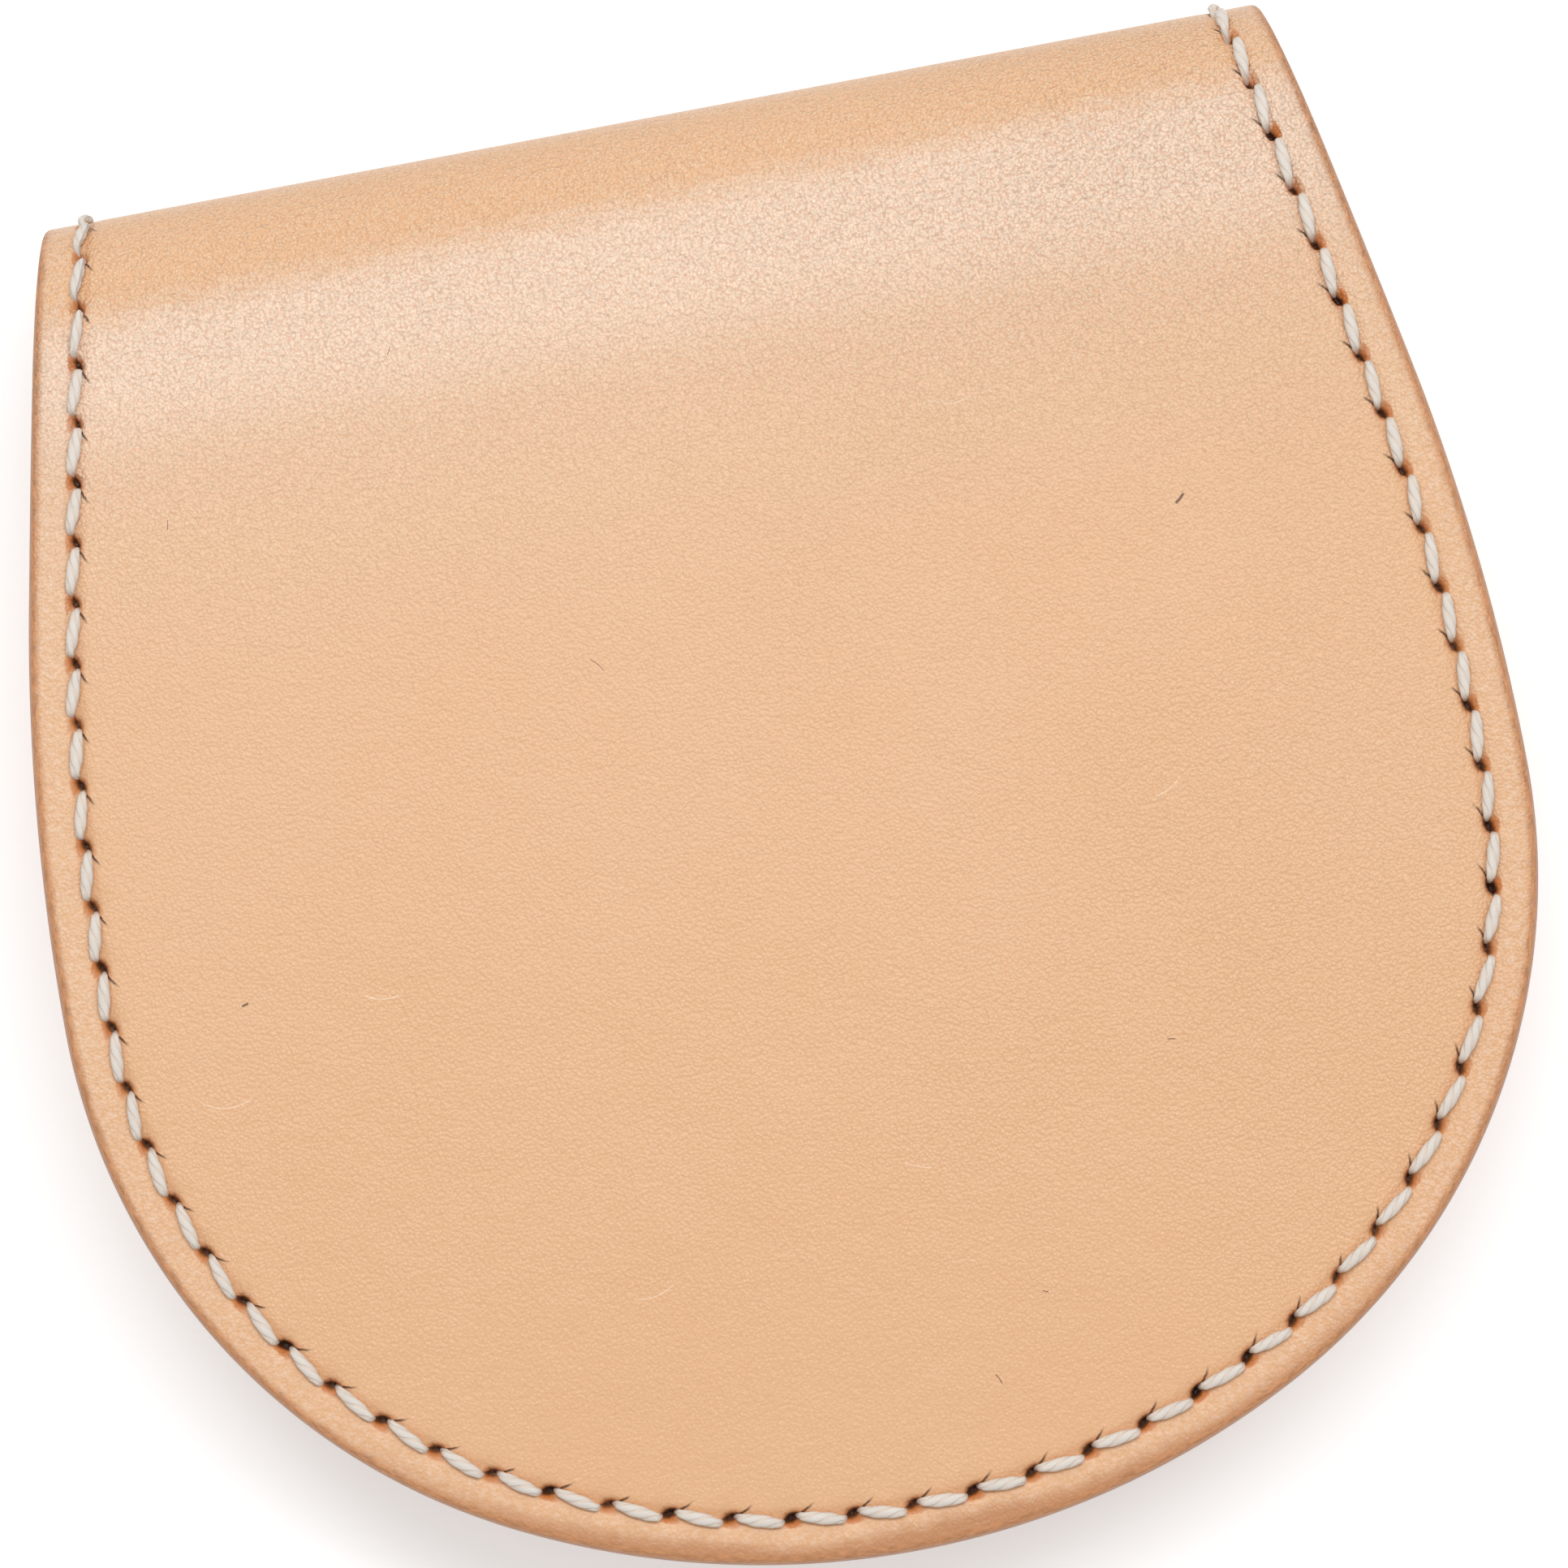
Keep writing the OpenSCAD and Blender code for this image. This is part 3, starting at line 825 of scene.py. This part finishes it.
def burnished(f, hide, face):
    """The cut edge: a brown rim that bleeds on to the face, painted shade on its lower part, and the line
    between the layers.
    """
    c = colours()
    ragged = f.noise(hide.plan, 0.9, 3.0, 0.6)
    patch = f.noise(hide.plan, 0.09, 1.0, 0.5)
    bleed = hide.inset + (ragged - 0.5) * 0.7 - (patch - 0.45) * 1.3
    grained = f.vector(hide.x * 0.9, hide.s * 0.9, hide.depth * 9.0)
    streak = f.noise(grained, 1.6, 3.0, 0.65)
    brown = f.mix(streak.step(0.35, 0.68), shade(c.edge, 1.12), shade(c.edge, 0.72))
    low = abs(hide.s).step(72.0, 87.0)
    face = f.mix((bleed - low * 0.35).step(1.5, 0.35) * (0.10 + low * 0.85), face, shade(c.edge, 0.88))
    face = f.mix((hide.inset + (ragged - 0.5) * 0.3).step(0.90, 0.38), face, brown)
    # Painted shade: the lower part of the cut edge is darkened as if in shadow
    under = hide.share.step(0.1, 0.8) * hide.inset.step(0.5, 0.2)
    face = f.mix(under * 0.30, face, shade(c.joint_line_and_shade))
    layer = hide.share.step(0.80, 0.93) * hide.share.step(1.0, 0.97) * hide.inset.step(0.4, 0.2)
    return f.mix(layer * 0.85, face, shade(c.joint_line_and_shade))


def awl_holes(f, hide, face):
    """The holes: a pit and a slit that runs inward and ahead, both painted dark as shade, an orange skin
    on the outer side.
    """
    c = colours()
    place = hide.count + 0.5
    luck = f.noise(f.vector((place - place.fraction()) * 3.7, 0.0, 0.0), 1.0, 0.0)
    along = (place.fraction() - 0.5) * hide.pitch - PIT_AHEAD
    waver = (hide.fine - 0.5) * 0.25
    ahead, beside = rotated(along, hide.outward, SLIT_ANGLE)
    beside = beside + waver * 0.6
    luck = luck.step(0.25, 0.75)
    shut = abs(hide.s).step(52.0, 8.0)
    reach = ((ahead / 0.52) ** 2 + (beside / 0.25) ** 2) ** 0.5 * (1.15 - luck * 0.3 + shut * 0.35)
    curl = beside + ahead * (ahead - 0.5) * 0.12
    slit = abs(curl).step(0.09, 0.025) * ahead.step(-1.1, 0.1)
    slit = slit * ahead.step(1.40 + luck * 0.35, 0.95)
    skin_x, skin_y = (along - 0.02) / 0.62, (hide.outward - 0.38 + waver) / 0.24
    skin = (skin_x * skin_x + skin_y * skin_y).step(1.4, 0.25) * (0.35 + luck * 0.6)
    soft = reach.step(2.1, 0.8) * (0.50 + shut * 0.2) + abs(hide.outward).step(0.7, 0.35) * 0.12
    face = f.mix(soft * hide.on_seam, face, shade(c.stain_and_shade))
    face = f.mix(skin * hide.on_seam, face, shade(c.stain_and_shade))
    # Painted shade: the slit and the pit are painted dark, as the shade inside the hole
    face = f.mix(slit * 0.85 * hide.on_seam, face, shade(c.pit))
    face = f.mix(reach.step(1.25, 0.60) * (0.62 + luck * 0.38) * hide.on_seam, face, shade(c.pit))
    return face, slit * hide.on_seam


# Dark hairs and pale scratches in the lid's grain: across, from the fold's middle, length, width, slope
FLECKS = (
    (25.7, 31.8, 0.40, 0.11, 42.0),
    (6.3, 79.2, 0.35, 0.04, 115.0),
    (9.8, 74.8, 0.20, 0.04, -25.0),
    (-32.0, 50.4, 0.22, 0.09, 15.0),
    (-8.7, 35.0, 0.55, 0.03, 130.0),
    (-17.2, 15.0, 0.25, 0.03, 60.0),
    (-31.4, 22.6, 0.30, 0.03, 80.0),
    (19.5, 62.0, 0.25, 0.04, 170.0),
)
SCRATCHES = (
    (-24.3, 51.5, 1.10, 0.05, -10.6),
    (-34.0, 56.0, 1.60, 0.04, -4.0),
    (22.0, 48.0, 1.00, 0.04, 28.0),
    (4.0, 66.5, 0.90, 0.04, -20.0),
    (-12.0, 71.0, 1.30, 0.04, 12.0),
    (14.0, 24.0, 1.20, 0.04, -2.0),
)


def flecks(hide, table):
    """A mask of the short marks in the table, on the lid only."""
    mask = None
    for x, s, length, width, slope in table:
        run, off = rotated(hide.x - x, hide.s - s, math.radians(slope))
        off = off + run * run * 0.2
        one = abs(run).step(length, length * 0.8) * abs(off).step(width, width * 0.4)
        mask = one if mask is None else mask.most(one)
    return mask * abs(hide.depth).step(3.0, 2.0) * hide.s.step(-1.0, 0.0)


def grain_leather():
    """Undyed polished leather: fine pebbled grain that opens where it is bent."""
    c = colours()
    f = Finish("undyed_grain")
    hide = Hide(f)
    run = abs(hide.s)
    bent = run.step(36.0, 10.0)
    tight = run.step(22.0, 12.0)
    drawn = (hide.x * 0.012 + f.noise(hide.plan, 0.045, 2.0, 0.5)).step(0.45, 0.85)

    # Colour: paler where the leather is bent, with a painted highlight band below the fold and a painted
    # reflection on the fold's crest, warmer to the tip, small flecks of both
    clouds = f.noise(hide.plan, 0.07, 4.0, 0.6)
    specks = f.noise(hide.plan, 6.0, 2.0, 0.65)
    tone = (clouds - 0.5) * 1.1 + run.step(20.0, 84.0) * 0.55
    ragged = f.noise(f.vector(hide.x * 0.35, hide.s, hide.depth), 1.3, 3.0, 0.6)
    # Partly the paler leather of the bend and partly a painted highlight: the band below the fold is
    # painted paler, as if it caught the overhead panel
    stretched_and_highlit = (run + hide.x * 0.025 + (ragged - 0.5) * 2.6).step(7.4, 10.8)
    stretched_and_highlit = stretched_and_highlit * (run.step(34.0, 12.0) * 0.45 + run.step(20.0, 13.6) * 0.55)
    # Painted reflection: the fold's crest is painted paler, as if it mirrored the white surroundings
    stretched_and_highlit = stretched_and_highlit + run.step(3.5, 0.0) * 0.6
    alive = bent * 0.6 + stretched_and_highlit * 0.6
    pebbles = f.cells(f.warped(hide.plan, 1.8, 0.25), 4.9)
    open_grain = 0.50 + bent * 0.50 + drawn * 0.20 - run.step(60.0, 84.0) * 0.2
    face = f.mix(tone.step(-0.3, 0.9), shade(c.grain), shade(c.warm))
    # Painted light: a brighter copy of the grain colour near the fold
    face = f.mix(run.step(14.0, 7.0) * 0.30, face, shade(c.grain, 1.25))
    face = f.mix(stretched_and_highlit * 0.95, face, shade(c.pale, 1.14))
    # Painted highlight on the pebble tops and painted shade in the crevices between them, both strongest
    # along the bend
    pebble_highlight, dark = pebbles.step(0.34, 0.10) * open_grain, pebbles.step(0.42, 0.74) * open_grain
    face = f.mix(pebble_highlight * (0.34 + alive * 0.40), face, shade(c.pale, 1.25))
    face = f.mix(dark * (0.08 + alive * 0.16), face, shade(c.stain_and_shade))
    # Specks of lighter and darker grain, made stronger along the bend as painted sparkle and painted
    # shade
    face = f.mix(specks.step(0.55, 0.70) * (0.22 + alive * 0.18), face, shade(c.pale))
    face = f.mix(specks.step(0.45, 0.30) * (0.10 + alive * 0.14), face, shade(c.stain_and_shade))
    margin = hide.inset.step(2.6, 1.6) * hide.fine.step(0.45, 0.62)
    face = f.mix(margin * 0.35, face, shade(c.pale))
    face = f.mix(flecks(hide, SCRATCHES) * 0.55, face, shade(c.pale, 1.2))
    face = f.mix(flecks(hide, FLECKS) * 0.90, face, shade(c.joint_line_and_shade, 0.75))
    face = burnished(f, hide, face)
    face, slit = awl_holes(f, hide, face)

    # Relief: pebbles, creases along the bend, soft ripples of the hide
    lines = f.noise(f.vector(hide.x * 0.32, hide.s, hide.depth), 3.1, 2.0, 0.55)
    folds = f.noise(f.vector(hide.x * 0.16, hide.s, hide.depth), 1.1, 2.0, 0.5)
    across, down = hide.x * 0.87 + hide.s * 0.5, hide.s * 0.87 - hide.x * 0.5
    streaks = f.noise(f.vector(across * 1.5, down * 0.32, hide.depth), 2.2, 3.0, 0.6)
    height = (0.5 - pebbles) * open_grain * 1.2 + (specks - 0.5) * 0.3 + (streaks - 0.5) * 0.40
    height = height + (lines - 0.5) * tight * 1.0 + (hide.fine - 0.5) * 0.4
    ripples = f.noise(hide.plan, 0.30, 2.0, 0.5)
    normal = f.bump(ripples * 0.10 + folds * tight * 0.05, MM)
    normal = f.bump(height * (0.076 + alive * 0.030) - slit * 0.05, MM, normal)

    polish = f.noise(hide.plan, 0.5, 3.0, 0.6)
    rough = 0.24 + 0.10 * polish + (1 - bent) * 0.10
    return f.surface(Base_Color=face, Roughness=rough, Normal=normal)


def lining_leather():
    """Thin natural leather with a fine nap, for the lining and the gusset."""
    c = colours()
    f = Finish("natural_lining")
    hide = Hide(f)
    clouds = f.noise(hide.plan, 0.09, 4.0, 0.6)
    nap = f.noise(f.warped(hide.plan, 1.5, 0.4), 5.0, 3.0, 0.65)
    rubbed = f.noise(hide.plan, 0.35, 3.0, 0.6)
    face = f.mix(clouds.step(0.3, 0.75), shade(c.flesh), shade(c.warm, 0.95))
    face = f.mix(nap.step(0.52, 0.72) * 0.4, face, shade(c.pale))
    face = f.mix(nap.step(0.46, 0.30) * 0.22, face, shade(c.stain_and_shade))
    face = f.mix(rubbed.step(0.6, 0.8) * 0.15, face, shade(c.edge))
    face = burnished(f, hide, face)
    face, slit = awl_holes(f, hide, face)
    ripples = f.noise(hide.plan, 0.4, 2.0, 0.5)
    normal = f.bump(ripples * 0.10, MM)
    normal = f.bump(nap * 0.05 - slit * 0.05, MM, normal)
    return f.surface(Base_Color=face, Roughness=0.55 + 0.15 * rubbed, Normal=normal)


def waxed_linen():
    """Cream thread of three plies, with painted shade in their grooves and where it goes into the
    leather.
    """
    c = colours()
    f = Finish("waxed_linen")
    along, turn, phase = f.marks("lay")
    plan = f.node("ShaderNodeTexCoord", output="Object")
    wound = turn - THREAD_TWIST * along
    fibre = f.noise(f.vector(along * 2.0, wound, phase), 9.0, 3.0, 0.6)
    grime = f.noise(plan, 900.0, 2.0, 0.5)
    groove = (PLIES * wound + phase).cosine().step(-0.3, -1.0)
    face = f.mix(grime.step(0.35, 0.75) * 0.35, shade(c.thread), shade(c.thread, 0.82))
    # Painted shade in the grooves between the plies and at the start of each stitch, next to its hole
    face = f.mix(groove * 0.22, face, shade(c.warm))
    face = f.mix(along.step(0.55, 0.2) * 0.35, face, shade(c.stain_and_shade))
    normal = f.bump(fibre * 0.03 - groove * 0.035, MM)
    return f.surface(Base_Color=face, Roughness=0.42 + 0.12 * grime, Normal=normal)


def metal(name, tint, roughness):
    """Pressed sheet or drawn wire: fine smears, a little tarnish."""
    f = Finish(name)
    plan = f.node("ShaderNodeTexCoord", output="Object")
    smear = f.noise(plan, 700.0, 3.0, 0.6)
    lines = f.noise(plan, 2600.0, 2.0, 0.6)
    tarnish = f.noise(plan, 260.0, 2.0, 0.5)
    face = f.mix(tarnish.step(0.4, 0.75) * 0.6, shade(tint), shade(tint, 0.76))
    normal = f.bump(lines * 0.01, MM)
    rough = roughness + smear * 0.16
    return f.surface(Base_Color=face, Roughness=rough, Metallic=1.0, Normal=normal)


FINISHES = {}


def finish(slot_name):
    """The finish of a slot. All are made when the first is asked for."""
    c = colours()
    if not FINISHES:
        FINISHES.update(
            outer_leather=grain_leather(),
            lining_leather=lining_leather(),
            thread=waxed_linen(),
            brass=metal("pressed_brass", c.brass, 0.22),
            spring_steel=metal("spring_wire", c.steel, 0.26),
        )
    return FINISHES[slot_name]


def dress(piece, slot_name, *nodes):
    """Gives a new piece the finish of its slot and hides the CAD nodes it stands for."""
    piece.data.materials.append(finish(slot_name))
    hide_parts(*nodes)


def repaint(node, slot_name):
    """Gives a CAD node that stays a better finish."""
    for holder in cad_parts[node].material_slots:
        holder.material = finish(slot_name)


def bend_with_fold(piece, side):
    """Bakes the piece's placement into its mesh; the lid's side and the back's side are treated alike."""
    if side > 0:
        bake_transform(piece)
    else:
        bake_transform(piece)


def shell_half(name, side, slot_name, nodes, *leather, **more):
    """One layer of the lid or of the back, from the middle of the fold to the tip."""
    profile = lid_profile() if side > 0 else back_profile()
    piece = Sheet(Lobe(profile), *leather, **more).build(name)
    dress(piece, slot_name, *nodes)
    bend_with_fold(piece, side)


# The steps


class PURSE_OT_outer_leather(bpy.types.Operator):
    """Outer leather: the back and the lid, which meet at the middle of the fold"""

    bl_idname = "purse.outer_leather"
    bl_label = "Outer leather"

    def execute(self, context):
        slot, leather = "outer_leather", (0.0, -sizes().outer_leather, OUTER_RIM, TOP_EDGE, OUTER_PITS)
        shell_half("outer_leather_lid", 1, slot, ("outer_lid", "outer_fold"), *leather)
        # The purse lies on its back, so that seam is sunk level with the face.
        shell_half("outer_leather_back", -1, slot, ("outer_back",), *leather, line=SUNK_LINE)
        return {"FINISHED"}


class PURSE_OT_lining(bpy.types.Operator):
    """Lining: the same two halves, inside the outer leather"""

    bl_idname = "purse.lining"
    bl_label = "Lining"

    def execute(self, context):
        p = sizes()
        top, bottom = -p.outer_leather - GLUE, -p.outer_leather - p.lining
        slot, leather = "lining_leather", (top, bottom, LINING_RIM, LINING_EDGE, LINING_PITS)
        nodes = ("lining_lid", "lining_fold")
        shell_half("lining_lid_half", 1, slot, nodes, *leather, patch=LINING_PATCH)
        shell_half("lining_back_half", -1, slot, ("lining_back",), *leather, patch=LINING_PATCH)
        return {"FINISHED"}


class PURSE_OT_pocket(bpy.types.Operator):
    """Pocket front and the gusset strip that joins it to the back"""

    bl_idname = "purse.pocket"
    bl_label = "Pocket"

    def execute(self, context):
        p = sizes()
        lobe = Lobe(flat_profile(FRONT_HIGH[2]), start=p.mouth, trim=p.trim)
        thick = FRONT_HIGH[2] - FRONT_LOW[2]
        front = Sheet(lobe, 0.0, -thick, FRONT_RIM, TOP_EDGE, FRONT_PITS, patch=FRONT_PATCH)
        front = front.build("pocket_front_leather")
        dress(front, "outer_leather", "pocket_front")
        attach(front, "back")
        strip = build_gusset()
        dress(strip, "lining_leather", "gusset")
        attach(strip, "back")
        return {"FINISHED"}


def last_pocket_hole(lobe):
    """Highest hole, counted from the tip, that still has pocket leather round it."""
    count, edge, _ = lobe.table
    right = count >= 0
    mouth = np.interp(sizes().mouth, edge[right][::-1, 1], count[right][::-1])
    return int(mouth - 0.35)


class PURSE_OT_seams(bpy.types.Operator):
    """Waxed thread: round the lid and the fold, round the back, and round the pocket front"""

    bl_idname = "purse.seams"
    bl_label = "Seams"

    def execute(self, context):
        p = sizes()
        inside = -p.outer_leather - p.lining
        lid = Thread(Lobe(lid_profile()), seed=1.0)
        last = lid.lobe.holes
        lid.sew(-last - 1, last, 0.0)
        lid.sew_inside(-last - 1, last, inside)
        lid = lid.build("lid_thread")
        dress(lid, "thread", "lid_seam", "fold_seam")
        bend_with_fold(lid, 1)

        pocket = Thread(Lobe(flat_profile(FRONT_HIGH[2])), seed=2.0)
        high = last_pocket_hole(pocket.lobe)
        pocket.sew(-high, high - 1, 0.0, bore=0.9)
        pocket.sew_inside(-high, high - 1, FRONT_LOW[2] - FRONT_HIGH[2] - p.strip)
        pocket = pocket.build("pocket_thread")
        dress(pocket, "thread", "pocket_seam")
        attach(pocket, "back")

        back = Thread(Lobe(back_profile()), seed=-1.0)
        last = back.lobe.holes
        back.sew(-last, last - 1, 0.0, proud=-0.28)
        back.sew_inside(-last, -high - 1, inside)
        back.sew_inside(-high, high - 1, inside - p.strip)
        back.sew_inside(high, last - 1, inside)
        back = back.build("back_thread")
        dress(back, "thread", "back_seam")
        bend_with_fold(back, -1)
        return {"FINISHED"}


class PURSE_OT_press_stud(bpy.types.Operator):
    """Press stud: socket with its ring spring in the lid, stud and rivet in the pocket front"""

    bl_idname = "purse.press_stud"
    bl_label = "Press stud"

    def execute(self, context):
        place = ((STUD_LOW[0] + STUD_HIGH[0]) / 2, (STUD_LOW[1] + STUD_HIGH[1]) / 2)
        low, top, base, head = STUD_LOW[2], STUD_HIGH[2], (STUD_HIGH[0] - STUD_LOW[0]) / 2, 1.9
        stud = [
            (1.25, low), (base - 0.3, low), (base, low + 0.25), (base - 0.25, low + 0.5),
            (base - 1.2, low + 0.42), (1.75, low + 0.4), (1.5, low + 0.55), (1.5, low + 0.72),
            (head, low + 0.95), (head, low + 1.2), (head - 0.35, top - 0.03), (0.6, top),
            (0.55, top - 0.08), (0.02, top - 0.1), (0.02, low + 1.2), (1.2, low + 1.15),
        ]
        stud = turned("press_stud", place, rounded(stud, BRASS_ROUND))
        dress(stud, "brass", "snap_stud")
        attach(stud, "back")
        low, high, outer = SOCKET_LOW[2], SOCKET_HIGH[2], (SOCKET_HIGH[0] - SOCKET_LOW[0]) / 2
        socket = [
            (2.25, low + 0.05), (2.4, low), (3.0, low), (3.3, low + 0.25), (3.35, high - 0.75),
            (outer - 0.3, high - 0.45), (outer, high - 0.25), (outer - 0.2, high), (1.22, high),
            (1.22, high - 0.35), (2.25, high - 0.4), (2.25, low + 0.9), (2.8, low + 0.88),
            (2.8, low + 0.3), (2.25, low + 0.3),
        ]
        socket = turned("press_socket", place, rounded(socket, BRASS_ROUND))
        dress(socket, "brass", "snap_socket")
        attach(socket, "lid")
        repaint("snap_cap", "brass")
        repaint("snap_rivet", "brass")
        repaint("snap_spring", "spring_steel")
        return {"FINISHED"}


FLOOR_WIDTH = 1600
FLOOR_GLOW = 0.32
PANEL_PLACE = (0.09, 0.26, 0.76)
PANEL_SIZE = (0.8, 0.2)


def build_floor():
    """A pale floor that shows white where no shadow falls."""
    half = FLOOR_WIDTH / 2
    corners = [(-half, -half, 0), (half, -half, 0), (half, half, 0), (-half, half, 0)]
    floor = new_piece("floor", corners, [(0, 1, 2, 3)])
    f = Finish("pale_floor")
    seen = f.node("ShaderNodeLightPath", output="Is Camera Ray")
    glow = f.mix(seen, (0.0, 0.0, 0.0), (FLOOR_GLOW,) * 3)
    tint = (*shade(colours().floor), 1.0)
    f.surface(Base_Color=tint, Roughness=1.0, Emission_Color=glow, Emission_Strength=1.0)
    floor.data.materials.append(f.material)


def build_panel(scene):
    """A soft panel over the fold that faces the purse."""
    data = bpy.data.lights.new("overhead_panel", "AREA")
    data.shape = "RECTANGLE"
    data.size, data.size_y = PANEL_SIZE
    data.energy = scene.purse_studio.panel
    light = bpy.data.objects.new("overhead_panel", data)
    light.location = PANEL_PLACE
    light.rotation_mode = "QUATERNION"
    light.rotation_quaternion = (-Vector(PANEL_PLACE)).to_track_quat("-Z", "Y")
    scene.collection.objects.link(light)


def build_camera(scene):
    """The camera looks down on the lid, a little from the tip's side, turned as in the picture."""
    studio = scene.purse_studio
    data = bpy.data.cameras.new("camera")
    data.sensor_width = 36.0
    data.lens = data.sensor_width * studio.distance / studio.view_width
    data.clip_start = 0.01
    camera = bpy.data.objects.new("camera", data)
    scene.collection.objects.link(camera)
    tilt = math.radians(studio.tilt)
    back = Vector((0, -math.sin(tilt), math.cos(tilt)))
    aim = Vector((studio.view_x, studio.view_y, sizes().thickness))
    camera.location = (aim + back * studio.distance) * MM
    camera.rotation_mode = "QUATERNION"
    turn = Quaternion((0, 0, 1), math.radians(-studio.roll))
    camera.rotation_quaternion = (-back).to_track_quat("-Z", "Y") @ turn
    scene.camera = camera


class PURSE_OT_stage(bpy.types.Operator):
    """Pale floor, soft light and the camera at the photograph's angle"""

    bl_idname = "purse.stage"
    bl_label = "Stage"

    def execute(self, context):
        build_floor()
        world = bpy.data.worlds.new("soft_studio")
        world.use_nodes = True
        sky = world.node_tree.nodes["Background"]
        sky.inputs["Color"].default_value = (1, 1, 1, 1)
        sky.inputs["Strength"].default_value = context.scene.purse_studio.sky
        context.scene.world = world
        build_panel(context.scene)
        context.scene.view_settings.view_transform = "Standard"
        build_camera(context.scene)
        return {"FINISHED"}


STEPS = (
    PURSE_OT_outer_leather,
    PURSE_OT_lining,
    PURSE_OT_pocket,
    PURSE_OT_seams,
    PURSE_OT_press_stud,
    PURSE_OT_stage,
)


class PURSE_PT_panel(bpy.types.Panel):
    """Sizes, colours, studio and steps of the purse"""

    bl_label = "Coin purse"
    bl_idname = "PURSE_PT_panel"
    bl_space_type = "VIEW_3D"
    bl_region_type = "UI"
    bl_category = "Purse"

    def draw(self, context):
        for step in STEPS:
            self.layout.operator(step.bl_idname)
        for group in (sizes(), colours(), context.scene.purse_studio):
            box = self.layout.box()
            for name in type(group).__annotations__:
                box.prop(group, name)


CLASSES = (PurseSizes, PurseColours, PurseStudio, *STEPS, PURSE_PT_panel)


def register():
    for made in CLASSES:
        bpy.utils.register_class(made)
    bpy.types.Scene.purse_sizes = bpy.props.PointerProperty(type=PurseSizes)
    bpy.types.Scene.purse_colours = bpy.props.PointerProperty(type=PurseColours)
    bpy.types.Scene.purse_studio = bpy.props.PointerProperty(type=PurseStudio)


def unregister():
    del bpy.types.Scene.purse_studio
    del bpy.types.Scene.purse_colours
    del bpy.types.Scene.purse_sizes
    for made in reversed(CLASSES):
        bpy.utils.unregister_class(made)


def main():
    register()
    for step in STEPS:
        group, name = step.bl_idname.split(".")
        getattr(getattr(bpy.ops, group), name)()


if __name__ == "__main__":
    main()
